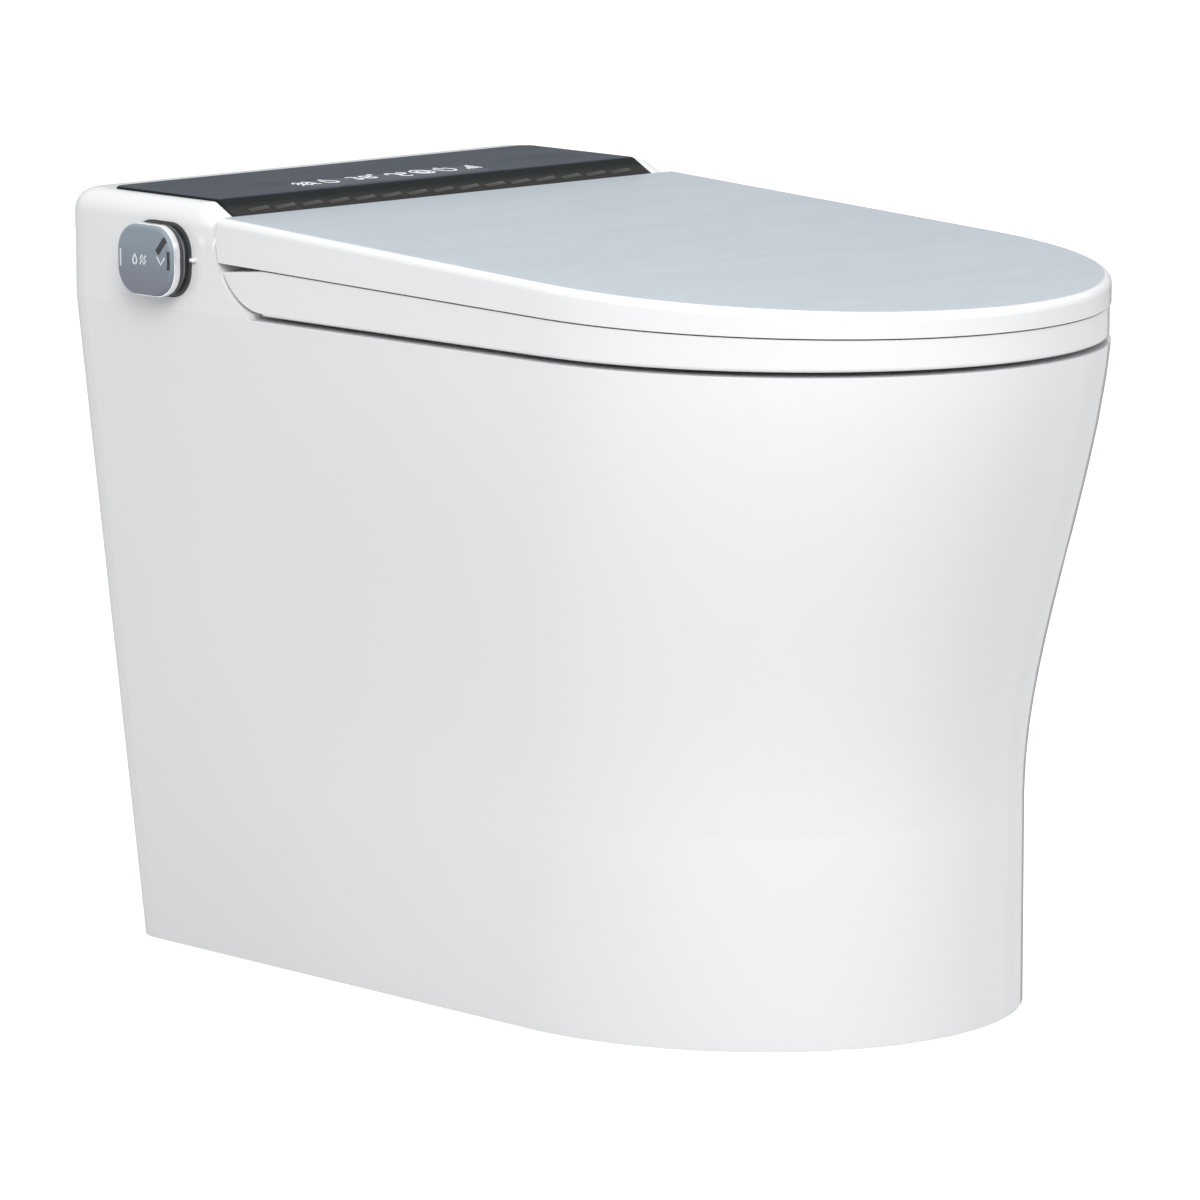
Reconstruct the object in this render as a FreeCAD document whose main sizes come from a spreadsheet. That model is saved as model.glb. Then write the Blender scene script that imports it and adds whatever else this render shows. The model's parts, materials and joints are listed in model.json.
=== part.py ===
import FreeCAD, Part
import math
import os
import re
import Sketcher
from FreeCAD import Placement, Rotation, Vector

# Smart toilet with a heated seat. Millimetres, +Z up, the user faces -Y.
# The origin is the centre of the waste outlet on the floor.
# Sizes ending in FromRear are measured forwards from the rear plane of the body.

doc = FreeCAD.newDocument("SmartToilet")
sheet = doc.addObject("Spreadsheet::Sheet", "Sizes")

sizes = {
    # ceramic body
    "deckHeight": 412,
    "bodyLength": 657,
    "bodyWidth": 390,
    "outletSetback": 270,
    "curveFromRear": 445,
    "floorLength": 598,
    "floorRearInset": 26,
    "floorFrontWidth": 340,
    "floorRearWidth": 330,
    "floorCurveFromRear": 410,
    "rearCorner": 26,
    "skirtWall": 13,
    "kickHeight": 130,
    "rimDepth": 40,
    "bowlCentreFromRear": 431,
    "bowlHalfWidth": 146,
    "bowlHalfLength": 178,
    "bowlWall": 11,
    "bowlFloor": 140,
    "sumpHalfWidth": 44,
    "sumpHalfLength": 50,
    "trapRadius": 25,
    "trapWall": 8,
    "weirHeight": 232,
    "outletRadius": 45,
    "sealRadius": 62,
    "sealHeight": 20,
    "wellHalfWidth": 160,
    "wellRearFromRear": 38,
    "wellFrontFromRear": 170,
    "wellDepth": 112,
    # rear unit
    "plateThickness": 4,
    "armThickness": 2.5,
    "housingHeight": 63,
    "housingWall": 5,
    "housingEdge": 10,
    "coverThickness": 6,
    "coverWidth": 356,
    "coverRearFromRear": 30,
    "coverBendFromRear": 132,
    "noseDrop": 10,
    "windowLength": 150,
    "windowWidth": 28,
    "windowDepth": 1.2,
    "windowCentre": -15,
    # hinge of the lid and the seat
    "hingeFromRear": 195,
    "hingeRise": 46,
    "tailRadius": 42.3,
    "tailGap": 1.7,
    "postPlace": 106,
    "postWidth": 10,
    "postLean": 20,
    "knuckleRadius": 8,
    "knuckleWidth": 8,
    "knuckleGap": 2,
    "shaftRadius": 4,
    "runningGap": 0.05,
    "damperRadius": 7.5,
    "damperLength": 38,
    # seat
    "seatInset": 1,
    "bumperHeight": 3,
    "seatRearHeight": 31.7,
    "seatFrontHeight": 20.7,
    "seatSkin": 3.5,
    "seatPan": 3,
    "seatHoleHalfWidth": 105,
    "seatHoleHalfLength": 143,
    "seatHoleFromRear": 433,
    "heaterThickness": 1,
    # lid
    "lidGap": 1,
    "lidRearHeight": 61,
    "lidFrontHeight": 36,
    "lidSkin": 3.5,
    "linerThickness": 2.5,
    # spray wands
    "wandSlope": 20,
    "wandRadius": 7,
    "wandLength": 112,
    "wandTipLength": 24,
    "wandSpacing": 30,
    "wandPortFromRear": 243,
    "wandPortDrop": 36,
    "wandClearance": 0.4,
    "wandTravel": 95,
    "channelLeft": 50,
    "channelRight": 98,
    "channelDrop": 20,
    "cradleLength": 72,
    # dryer
    "ductWidth": 42,
    "ductHeight": 30,
    "ductWall": 2,
    "ductCentre": 72,
    "flapThickness": 2,
    "flapPinRadius": 1.2,
    "blowerRadius": 36,
    "blowerHeight": 30,
    "impellerRadius": 27,
    "impellerHeight": 20,
    "impellerBlades": 12,
    "blowerFromRear": 88,
    "blowerCentre": 84,
    # knob
    "knobFromRear": 102,
    "knobRise": 31,
    "knobWidth": 52,
    "knobHeight": 44,
    "knobCorner": 17,
    "knobDepth": 11,
    "knobTravel": 2.5,
    "knobGap": 0.5,
    "bezelRadius": 20,
    "bezelDepth": 2,
    "knobStemRadius": 6,
    "encoderSize": 32,
    # water and power
    "inletRadius": 10.5,
    "inletPlace": 110,
    "inletHeight": 350,
    "glandRadius": 8,
    "glandPlace": 120,
    "boltRadius": 3,
    "boltInset": 20,
}

for row, (alias, value) in enumerate(sizes.items(), start=1):
    sheet.set(f"A{row}", alias)
    sheet.set(f"B{row}", str(value))
    sheet.setAlias(f"B{row}", alias)
doc.recompute()

aliasPattern = re.compile(r"\b(" + "|".join(sorted(sizes, key=len, reverse=True)) + r")\b")

# places that follow from the sizes
wellFloor = "(deckHeight - wellDepth)"
wandPortHeight = "(deckHeight - wandPortDrop)"
boltPlace = "(bodyWidth / 2 - boltInset)"
boltPlaces = [(sign + boltPlace, place) for sign in ("", "-") for place in ("45", "135")]


def bound(text):
    """The expression with each size's name replaced by its cell."""
    return aliasPattern.sub(r"Sizes.\1", str(text))


def number(text):
    """The present value of an expression."""
    result = sheet.evalExpression(bound(text))
    return float(getattr(result, "Value", result))


def fromRear(text):
    """The Y of a place given as a distance forwards from the rear plane."""
    return f"(outletSetback - ({text}))"


def bind(item, prop, text):
    item.setExpression(prop, bound(text))


def place(item, x="0", y="0", z="0", axis=None, angle="0"):
    """Puts an item at a bound place, turned by a bound angle about an axis."""
    turn = Rotation(Vector(*axis), number(angle)) if axis else Rotation()
    item.Placement = Placement(Vector(number(x), number(y), number(z)), turn)
    bind(item, "Placement.Base.x", x)
    bind(item, "Placement.Base.y", y)
    bind(item, "Placement.Base.z", z)
    if axis:
        bind(item, "Placement.Rotation.Angle", angle)


# Solids -------------------------------------------------------------------


def box(name, x, y, z):
    """A box between pairs of bound limits."""
    item = doc.addObject("Part::Box", name)
    bind(item, "Length", f"({x[1]}) - ({x[0]})")
    bind(item, "Width", f"({y[1]}) - ({y[0]})")
    bind(item, "Height", f"({z[1]}) - ({z[0]})")
    place(item, x[0], y[0], z[0])
    return item


def cylinder(name, radius, length, x, y, z, axis="z"):
    """A cylinder that starts at a bound point and runs along +X, -Y or +Z."""
    item = doc.addObject("Part::Cylinder", name)
    bind(item, "Radius", radius)
    bind(item, "Height", length)
    turns = {"z": (None, "0"), "x": ((0, 1, 0), "90"), "y": ((1, 0, 0), "90")}
    place(item, x, y, z, *turns[axis])
    return item


def join(kind, name, items):
    item = doc.addObject(kind, name)
    if kind == "Part::Cut":
        item.Base, item.Tool = items
    else:
        item.Shapes = items
    item.Refine = True
    return item


def cut(name, base, tools):
    """The base less every tool."""
    tool = tools[0] if len(tools) == 1 else fuse(name + "Tools", tools)
    return join("Part::Cut", name, [base, tool])


def fuse(name, items):
    return join("Part::MultiFuse", name, items)


def common(name, items):
    return join("Part::MultiCommon", name, items)


def rounded(name, base, radius, chosen):
    """The base with the edges that the test chooses rounded to a size in the sheet."""
    doc.recompute()
    item = doc.addObject("Part::Fillet", name)
    item.Base = base
    size = number(radius)
    edges = base.Shape.Edges
    item.Edges = [(i + 1, size, size) for i, edge in enumerate(edges) if chosen(edge)]
    return item


def sketchOn(body, plane):
    sketch = body.newObject("Sketcher::SketchObject", body.Name + "Sketch")
    face = [o for o in body.Origin.OriginFeatures if o.Role == plane][0]
    sketch.AttachmentSupport = [(face, "")]
    sketch.MapMode = "FlatFace"
    return sketch


def fixPoint(sketch, geo, end, x, y):
    """Holds a point of the sketch at a bound place."""
    for kind, text in (("DistanceX", x), ("DistanceY", y)):
        index = sketch.addConstraint(Sketcher.Constraint(kind, -1, 1, geo, end, number(text)))
        sketch.setExpression(f"Constraints[{index}]", bound(text))


def polygon(sketch, corners):
    """A closed outline through bound corners, each (x, y) or (x, y, radius)."""
    points = [Vector(number(c[0]), number(c[1]), 0) for c in corners]
    radii = [number(c[2]) if len(c) > 2 else 0 for c in corners]
    count = len(corners)
    ends = []
    for i, point in enumerate(points):
        before = (points[i - 1] - point).normalize()
        after = (points[(i + 1) % count] - point).normalize()
        if not radii[i]:
            ends.append((point, point, None))
            continue
        half = before.getAngle(after) / 2
        reach = radii[i] / math.tan(half)
        middle = point + (before + after).normalize() * (radii[i] / math.sin(half))
        ends.append((point + before * reach, point + after * reach, middle))
    lines = []
    for i in range(count):
        start, finish = ends[i][1], ends[(i + 1) % count][0]
        lines.append(sketch.addGeometry(Part.LineSegment(start, finish), False))
    for i, corner in enumerate(corners):
        before, after = lines[i - 1], lines[i]
        if not radii[i]:
            sketch.addConstraint(Sketcher.Constraint("Coincident", before, 2, after, 1))
            fixPoint(sketch, after, 1, corner[0], corner[1])
            continue
        start, finish, middle = ends[i]
        through = middle + (points[i] - middle).normalize() * radii[i]
        arc = sketch.addGeometry(Part.Arc(start, through, finish), False)
        turnsLeft = (points[i] - points[i - 1]).cross(points[(i + 1) % count] - points[i]).z > 0
        first, last = (1, 2) if turnsLeft else (2, 1)
        sketch.addConstraint(Sketcher.Constraint("Tangent", before, 2, arc, first))
        sketch.addConstraint(Sketcher.Constraint("Tangent", after, 1, arc, last))
        index = sketch.addConstraint(Sketcher.Constraint("Radius", arc, radii[i]))
        sketch.setExpression(f"Constraints[{index}]", bound(corner[2]))
        mark = sketch.addGeometry(Part.Point(points[i]), True)
        fixPoint(sketch, mark, 1, corner[0], corner[1])
        sketch.addConstraint(Sketcher.Constraint("PointOnObject", mark, 1, before))
        sketch.addConstraint(Sketcher.Constraint("PointOnObject", mark, 1, after))


def padded(name, plane, corners, length, middle=False, x="0", y="0", z="0"):
    """A PartDesign body: one outline on an origin plane, padded."""
    body = doc.addObject("PartDesign::Body", name)
    sketch = sketchOn(body, plane)
    polygon(sketch, corners)
    pad = body.newObject("PartDesign::Pad", name + "Pad")
    pad.Profile = sketch
    bind(pad, "Length", length)
    pad.Midplane = middle
    sketch.Visibility = False
    place(body, x, y, z)
    return body


def turned(name, corners, x, y, z, axis=None, angle="0"):
    """A PartDesign body: an outline of (radius, height) corners turned about its own Z axis."""
    body = doc.addObject("PartDesign::Body", name)
    sketch = sketchOn(body, "XZ_Plane")
    polygon(sketch, corners)
    spin = body.newObject("PartDesign::Revolution", name + "Turn")
    spin.Profile = sketch
    spin.ReferenceAxis = (sketch, ["V_Axis"])
    spin.Angle = 360
    place(body, x, y, z, axis, angle)
    return body


def sideSlab(name, corners, width):
    """A prism across the toilet whose side view is given as (distance from the rear, height)."""
    outline = [(fromRear(c[0]), *c[1:]) for c in corners]
    return padded(name, "YZ_Plane", outline, width, middle=True)


def oval(name, along, across, y, z):
    """A flat ellipse, whichever of its two half sizes is the larger."""
    plan = doc.addObject("Part::Ellipse", name)
    bind(plan, "MajorRadius", f"max({along}; {across})")
    bind(plan, "MinorRadius", f"min({along}; {across})")
    place(plan, "0", y, z, (0, 0, 1), f"{along} > {across} ? 90 : 0")
    return plan


def dPrism(name, inset, low, high):
    """A prism with the plan of the seat: straight sides and an elliptic front."""
    half = f"(bodyWidth / 2 - ({inset}))"
    curve = fromRear("curveFromRear")
    straight = box(name + "Sides", (f"-{half}", half), (curve, fromRear("0")), (low, high))
    plan = oval(name + "Plan", f"(bodyLength - curveFromRear - ({inset}))", half, curve, low)
    front = doc.addObject("Part::Extrusion", name + "Front")
    front.Base = plan
    front.Dir = Vector(0, 0, 1)
    front.DirMode = "Custom"
    bind(front, "LengthFwd", f"({high}) - ({low})")
    front.Solid = True
    return fuse(name, [straight, front])


def ovalPrism(name, inset, low, high):
    """The seat's hole, made smaller by an inset."""
    along, across = (f"({half} - ({inset}))" for half in ("seatHoleHalfLength", "seatHoleHalfWidth"))
    plan = oval(name + "Plan", along, across, fromRear("seatHoleFromRear"), low)
    solid = doc.addObject("Part::Extrusion", name)
    solid.Base = plan
    solid.Dir = Vector(0, 0, 1)
    solid.DirMode = "Custom"
    bind(solid, "LengthFwd", f"({high}) - ({low})")
    solid.Solid = True
    return solid


# Edge tests, used to choose what is rounded ------------------------------------


def isUpright(edge):
    """A straight edge that runs along Z."""
    box = edge.BoundBox
    return box.XLength < 0.01 and box.YLength < 0.01 and box.ZLength > 1


def isSideTopEdge(edge):
    """An edge of the housing's top or nose, on its sides, its rear corners or its rear."""
    box = edge.BoundBox
    high = box.ZMin > number("deckHeight + housingHeight - noseDrop - 1")
    acrossFront = box.XLength > 100 and box.YMax < number(fromRear("100"))
    return high and not acrossFront and not isUpright(edge)


def isCoverRim(edge):
    """An edge of the dark cover's top, on its sides, its rear corners or its rear."""
    box = edge.BoundBox
    onTop = box.ZMin > number("deckHeight + housingHeight + coverThickness - 0.01")
    acrossFront = box.XLength > 100 and box.YMax < number(fromRear("100"))
    return onTop and not acrossFront


def isLidRim(edge):
    """The outer edge of the lid's top."""
    box = edge.BoundBox
    atSide = box.XLength < 0.01 and abs(box.XMax) > number("bodyWidth / 2 - 0.1")
    high = box.ZMin > number("deckHeight + lidFrontHeight - 2")
    front = box.YMin < number(fromRear("bodyLength - 5"))
    return high and (atSide or front) and box.ZLength < 40 and box.YLength > 60


def isSeatRim(edge):
    """The outer edge of the seat's underside, ahead of the hinge."""
    box = edge.BoundBox
    flat = box.ZLength < 0.01 and box.ZMin < number("deckHeight + bumperHeight + 0.1")
    return flat and box.YLength > 60


def isWandNose(edge):
    """The round edge at the front end of a wand's tip."""
    return edge.CenterOfMass.y < number(fromRear("wandPortFromRear - 2"))


# Ceramic body ---------------------------------------------------------------


def overhang(z):
    """How far the front has swelled from its floor outline to its top outline, 0 to 1."""
    kick, top = number("kickHeight"), number("deckHeight")
    rise = min(max((z - kick) / (top - kick), 0.0), 1.0)
    return 0.35 * rise**1.5 + 0.65 * (3 * rise**2 - 2 * rise**3)


def bodySection(z, inset=0.0):
    """The plan of the ceramic body at a height, as a closed wire."""
    swell, lean = overhang(z), z / number("deckHeight")
    back = number("outletSetback")
    rearHalf = mix("floorRearWidth / 2", "bodyWidth / 2", lean) - inset
    frontHalf = mix("floorFrontWidth / 2", "bodyWidth / 2", swell) - inset
    rear = back - mix("floorRearInset", "0", lean) - inset
    curve = back - mix("floorCurveFromRear", "curveFromRear", swell)
    tip = back - mix("floorLength", "bodyLength", swell) + inset
    corner = number("rearCorner") - inset * 0.5
    far = corner * (1 - math.sqrt(0.5))
    leftTop, rightTop = Vector(-rearHalf, rear - corner, z), Vector(rearHalf, rear - corner, z)
    leftLow, rightLow = Vector(-frontHalf, curve, z), Vector(frontHalf, curve, z)
    farther, nearer = Vector(0, tip, z), Vector(frontHalf, curve, z)
    if curve - tip < frontHalf:
        farther, nearer = nearer, farther
    nose = Part.Ellipse(farther, nearer, Vector(0, curve, z))
    start, finish = nose.parameter(leftLow), nose.parameter(rightLow)
    middle = nose.value(start + ((finish - start) % (2 * math.pi)) / 2)
    if middle.y > curve:
        start, finish = finish, start
    if finish < start:
        finish += 2 * math.pi
    edges = [
        Part.Arc(
            Vector(rearHalf, rear - corner, z),
            Vector(rearHalf - far, rear - far, z),
            Vector(rearHalf - corner, rear, z),
        ).toShape(),
        Part.LineSegment(Vector(rearHalf - corner, rear, z), Vector(corner - rearHalf, rear, z)).toShape(),
        Part.Arc(
            Vector(corner - rearHalf, rear, z),
            Vector(far - rearHalf, rear - far, z),
            Vector(-rearHalf, rear - corner, z),
        ).toShape(),
        Part.LineSegment(leftTop, leftLow).toShape(),
        Part.ArcOfEllipse(nose, start, finish).toShape(),
        Part.LineSegment(rightLow, rightTop).toShape(),
    ]
    return Part.Wire(Part.__sortEdges__(edges))


def mix(low, high, share):
    first, last = number(low), number(high)
    return first + (last - first) * share


def bodyLoft(low, high, inset=0.0):
    """The solid between two heights: straight up to the kick height, then swelling."""
    kick = number("kickHeight")
    parts = []
    if low < kick:
        parts.append(Part.makeLoft([bodySection(z, inset) for z in (low, min(kick, high))], True))
    if high > kick:
        start = max(kick, low)
        steps = 7
        heights = [start + (high - start) * i / steps for i in range(steps + 1)]
        parts.append(Part.makeLoft([bodySection(z, inset) for z in heights], True))
    return parts[0].fuse(parts[1:]).removeSplitter() if len(parts) > 1 else parts[0]


def bowlLoft(grow, low):
    """The bowl as a stack of ovals from the deck down to the sump, grown by a wall."""
    top, floor = number("deckHeight"), number("bowlFloor")
    widths = (number("sumpHalfWidth"), number("bowlHalfWidth"))
    lengths = (number("sumpHalfLength"), number("bowlHalfLength"))
    back = number("outletSetback") - number("bowlCentreFromRear")
    wires = []
    for share in (1.0, 0.85, 0.6, 0.35, 0.12, 0.0):
        swell = math.sin(math.pi / 2 * share) ** 0.85 if share else 0.0
        z = max(floor + (top - floor) * share, low) if share < 1.0 else top
        if share == 0.0:
            z = low
        across = widths[0] + (widths[1] - widths[0]) * swell + grow
        along = lengths[0] + (lengths[1] - lengths[0]) * swell + grow
        oval = Part.Ellipse(Vector(0, back, z), along, across)
        oval.rotate(Placement(Vector(0, back, z), Rotation(Vector(0, 0, 1), 90), Vector(0, 0, 0)))
        oval.Center = Vector(0, back, z)
        wires.append(Part.Wire(oval.toShape()))
    return Part.makeLoft(wires, True)


def trapPath(bottom):
    """The trapway's centre line: out of the sump, up over the weir and down to the floor."""
    back = number("outletSetback")
    floor = number("bowlFloor")
    weir = number("weirHeight")
    corners = [(440, floor + 18), (392, floor + 10), (352, weir), (back, weir), (back, bottom)]
    bends = [0, 40, 50, 40, 0]
    points = [Vector(0, back - p, z) for p, z in corners]
    edges, last = [], points[0]
    for i in range(1, len(points) - 1):
        before = (points[i - 1] - points[i]).normalize()
        after = (points[i + 1] - points[i]).normalize()
        half = before.getAngle(after) / 2
        reach = bends[i] / math.tan(half)
        start, finish = points[i] + before * reach, points[i] + after * reach
        middle = points[i] + (before + after).normalize() * (bends[i] / math.sin(half) - bends[i])
        edges.append(Part.LineSegment(last, start).toShape())
        edges.append(Part.Arc(start, middle, finish).toShape())
        last = finish
    edges.append(Part.LineSegment(last, points[-1]).toShape())
    return Part.Wire(edges)


def trapSolid(radius, bottom):
    path = trapPath(bottom)
    first = path.Edges[0]
    heading = first.tangentAt(first.FirstParameter)
    ring = Part.Wire(Part.makeCircle(radius, path.Vertexes[0].Point, heading))
    return path.makePipeShell([ring], True, True)


def block(x, y, z):
    """A box between numeric limits."""
    return Part.makeBox(x[1] - x[0], y[1] - y[0], z[1] - z[0], Vector(x[0], y[0], z[0]))


def prismX(corners, x):
    """A prism along X over (y, z) corners."""
    points = [Vector(x[0], y, z) for y, z in corners]
    return Part.Face(Part.makePolygon(points + points[:1])).extrude(Vector(x[1] - x[0], 0, 0))


def wandHeight(p):
    """The height of the wands' axis at a distance from the rear."""
    slope = math.tan(math.radians(number("wandSlope")))
    return number(wandPortHeight) + (number("wandPortFromRear") - p) * slope


def channelCut(grow):
    """The sloping channel under the seat that the wands and the dryer look out of."""
    back, top = number("outletSetback"), number("deckHeight")
    under = number("channelDrop") + grow
    rear, front = number("wellFrontFromRear") - 8, 285
    left, right = number("channelLeft") + grow, number("channelRight") + grow
    corners = [
        (back - rear, top + 1),
        (back - rear, wandHeight(rear) - under),
        (back - front, wandHeight(front) - under),
        (back - front, top + 1),
    ]
    return prismX(corners, (-left, right))


def makeCeramic():
    back, deck = number("outletSetback"), number("deckHeight")
    wall = number("skirtWall")
    outer = bodyLoft(0, deck)
    # open underside
    hollow = bodyLoft(-1, number("deckHeight - rimDepth"), wall)
    wellBlock = block(
        (-400, 400), (back - number("wellFrontFromRear") - wall, back + 50), (number(wellFloor) - wall, deck)
    )
    channel = channelCut(0)
    channelBlock = channelCut(wall).common(block((-400, 400), (back - 300, back), (0, deck)))
    hollow = hollow.cut([wellBlock, channelBlock])
    shell = outer.cut(hollow)
    # bowl, trapway and outlet collar
    bowlOuter = bowlLoft(number("bowlWall"), number("bowlFloor") - number("bowlWall"))
    pipe = trapSolid(number("trapRadius") + number("trapWall"), number("sealHeight"))
    collar = Part.makeCylinder(number("sealRadius"), 30, Vector(0, 0, number("sealHeight")))
    solid = shell.fuse([bowlOuter, pipe, collar])
    bowl = bowlLoft(0, number("bowlFloor"))
    bore = trapSolid(number("trapRadius"), number("sealHeight") - 1)
    mouth = Part.makeCylinder(number("outletRadius") - 5, 21, Vector(0, 0, number("sealHeight") - 1))
    well = block(
        (-number("wellHalfWidth"), number("wellHalfWidth")),
        (back - number("wellFrontFromRear"), back - number("wellRearFromRear")),
        (number(wellFloor), deck + 1),
    )
    corners = [e for e in well.Edges if abs(e.tangentAt(e.FirstParameter).z) > 0.9]
    well = well.makeFillet(15, corners)
    inletHole = Part.makeCylinder(
        18, 60, Vector(number("inletPlace"), back + 10, number("inletHeight")), Vector(0, -1, 0)
    )
    holes = [
        Part.makeCylinder(number("boltRadius") + 0.3, 26, Vector(x * number(boltPlace), back - p, deck - 25))
        for x in (-1, 1)
        for p in (45, 135)
    ]
    return solid.cut([bowl, bore, mouth, well, channel, inletHole] + holes)


nodes = {}


def node(name, item):
    """Names a sub-part: its label is the name of its file."""
    item.Label = name
    nodes[name] = item
    return item


def shaped(name, shape):
    """A sub-part whose shape is worked out from the sheet in this file."""
    item = doc.addObject("Part::Feature", name + "Shape")
    item.Shape = shape
    item.Placement = Placement()
    return node(name, item)


shaped("ceramic_body", makeCeramic())

seal = turned(
    "sealBody",
    [("outletRadius", "0"), ("sealRadius", "0"), ("sealRadius", "sealHeight"), ("outletRadius", "sealHeight")],
    "0",
    "0",
    "0",
)
node("waste_seal", seal)

# Rear unit: base plate and housing ------------------------------------------

hingeY = fromRear("hingeFromRear")
hingeZ = "(deckHeight + hingeRise)"
plateTop = "(deckHeight + plateThickness)"
housingTop = "(deckHeight + housingHeight)"
noseRadius = "(tailRadius + tailGap)"
postFoot = "(hingeFromRear + (hingeRise - armThickness) * tan(postLean))"

plate = box("plateSheet", ("-(bodyWidth / 2 - 8)", "bodyWidth / 2 - 8"), (fromRear("148"), fromRear("10")), ("deckHeight", plateTop))
plateSlot = box("plateSlot", ("-54", "channelRight"), (fromRear("150"), fromRear("92")), ("deckHeight - 1", plateTop + " + 1"))
arms = []
for side, low, high in (("Left", "postPlace - 9", "postPlace + 9"), ("Right", "-(postPlace + 9)", "-(postPlace - 9)")):
    arms.append(box("arm" + side, (low, high), (fromRear(postFoot + " + 14"), fromRear("147")), ("deckHeight", "deckHeight + armThickness")))
plateHoles = [
    cylinder(f"plateHole{i}", "boltRadius + 0.2", "plateThickness + 2", x, fromRear(p), "deckHeight - 1")
    for i, (x, p) in enumerate(boltPlaces)
]
plateRound = rounded("plateRound", plate, "rearCorner - 8", lambda e: isUpright(e) and e.CenterOfMass.y > number(fromRear("60")))
node("base_plate", cut("basePlate", fuse("plateWithArms", [plateRound] + arms), [plateSlot] + plateHoles))

bolts = []
for i, (x, p) in enumerate(boltPlaces):
    bolts.append(turned(f"bolt{i}", [("0", "-20"), ("boltRadius", "-20"), ("boltRadius", "0"), ("2 * boltRadius", "0"), ("2 * boltRadius", "boltRadius"), ("0", "boltRadius")], x, fromRear(p), plateTop))
boltSet = doc.addObject("Part::Compound", "boltSet")
boltSet.Links = bolts
node("base_bolts", boltSet)

# the side view of the housing: a top, a sloping nose and a hollow that the lid's tail turns in
noseTop = ("coverBendFromRear + 16", "deckHeight + housingHeight - noseDrop")
housingSide = [("0", "deckHeight"), ("0", housingTop), ("coverBendFromRear", housingTop, "6"), noseTop, ("hingeFromRear - 12", "deckHeight + 30"), ("hingeFromRear - 12", "deckHeight")]
housingBlock = sideSlab("housingBlock", housingSide, "bodyWidth")
housingRound = rounded("housingRound", housingBlock, "rearCorner", lambda e: isUpright(e) and e.CenterOfMass.y > number(fromRear("5")))
housingSoft = rounded("housingSoft", housingRound, "housingEdge", isSideTopEdge)
tailRoom = cylinder("tailRoom", noseRadius, "bodyWidth + 20", "-(bodyWidth / 2 + 10)", hingeY, hingeZ, "x")
innerTop = housingTop + " - housingWall"
innerSide = [("housingWall", "deckHeight - 1"), ("housingWall", innerTop, "5"), ("coverBendFromRear - 4", innerTop), ("coverBendFromRear + 8", innerTop + " - 8"), ("hingeFromRear - 20", "deckHeight + 28"), ("hingeFromRear - 20", "deckHeight - 1")]
innerBlock = sideSlab("innerBlock", innerSide, "bodyWidth - 2 * housingWall")
innerRound = rounded("innerRound", innerBlock, "rearCorner - housingWall", lambda e: isUpright(e) and e.CenterOfMass.y > number(fromRear("10")))
innerNose = cylinder("innerNose", noseRadius + " + 3", "bodyWidth + 20", "-(bodyWidth / 2 + 10)", hingeY, hingeZ, "x")
innerRoom = cut("innerRoom", innerRound, [innerNose])
armGaps = []
for side, low, high in (("Left", "postPlace - 10", "postPlace + 10"), ("Right", "-(postPlace + 10)", "-(postPlace - 10)")):
    armGaps.append(box("armGap" + side, (low, high), (fromRear("hingeFromRear"), fromRear("140")), ("deckHeight - 1", "deckHeight + armThickness + 0.3")))
knobY = fromRear("knobFromRear")
knobZ = "(deckHeight + knobRise)"
knobHole = cylinder("knobHole", "bezelRadius - 6", "30", "-(bodyWidth / 2 + 10)", knobY, knobZ, "x")
glandHole = cylinder("glandHole", "glandRadius", "20", "-glandPlace", fromRear("-5"), "deckHeight + 22", "y")
node("housing_shell", cut("housingShell", housingSoft, [tailRoom, innerRoom, knobHole, glandHole] + armGaps))

coverTop = housingTop + " + coverThickness"
coverSide = [("coverRearFromRear", housingTop), ("coverRearFromRear", coverTop), ("coverBendFromRear + 1", coverTop, "6"), ("coverBendFromRear + 21", "deckHeight + housingHeight - 4.5"), noseTop, ("coverBendFromRear", housingTop, "6")]
coverBlock = sideSlab("coverBlock", coverSide, "coverWidth")
coverRound = rounded("coverRound", coverBlock, "10", lambda e: isUpright(e) and e.CenterOfMass.y > number(fromRear("40")))
coverSoft = rounded("coverSoft", coverRound, "2", isCoverRim)
windowY = (fromRear("coverBendFromRear - 6"), fromRear("coverBendFromRear - 6 - windowWidth"))
windowX = ("windowCentre - windowLength / 2", "windowCentre + windowLength / 2")
windowPocket = box("windowPocket", windowX, windowY, (coverTop + " - windowDepth", coverTop + " + 5"))
coverNose = cylinder("coverNose", noseRadius, "bodyWidth", "-bodyWidth / 2", hingeY, hingeZ, "x")
node("top_cover", cut("topCover", coverSoft, [windowPocket, coverNose]))
windowSheet = box("windowSheet", windowX, windowY, (coverTop + " - windowDepth", coverTop))
node("display_window", windowSheet)

# Hinge: leaning posts, knuckles and soft-close barrels -----------------------

def besideAxis(name, corners, x0, width):
    """A flat piece across X over a side view given as (forward of the axis, above the axis)."""
    outline = [(hingeY + f" - ({c[0]})", hingeZ + f" + ({c[1]})", *c[2:]) for c in corners]
    return padded(name, "YZ_Plane", outline, width, x=x0)


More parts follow.
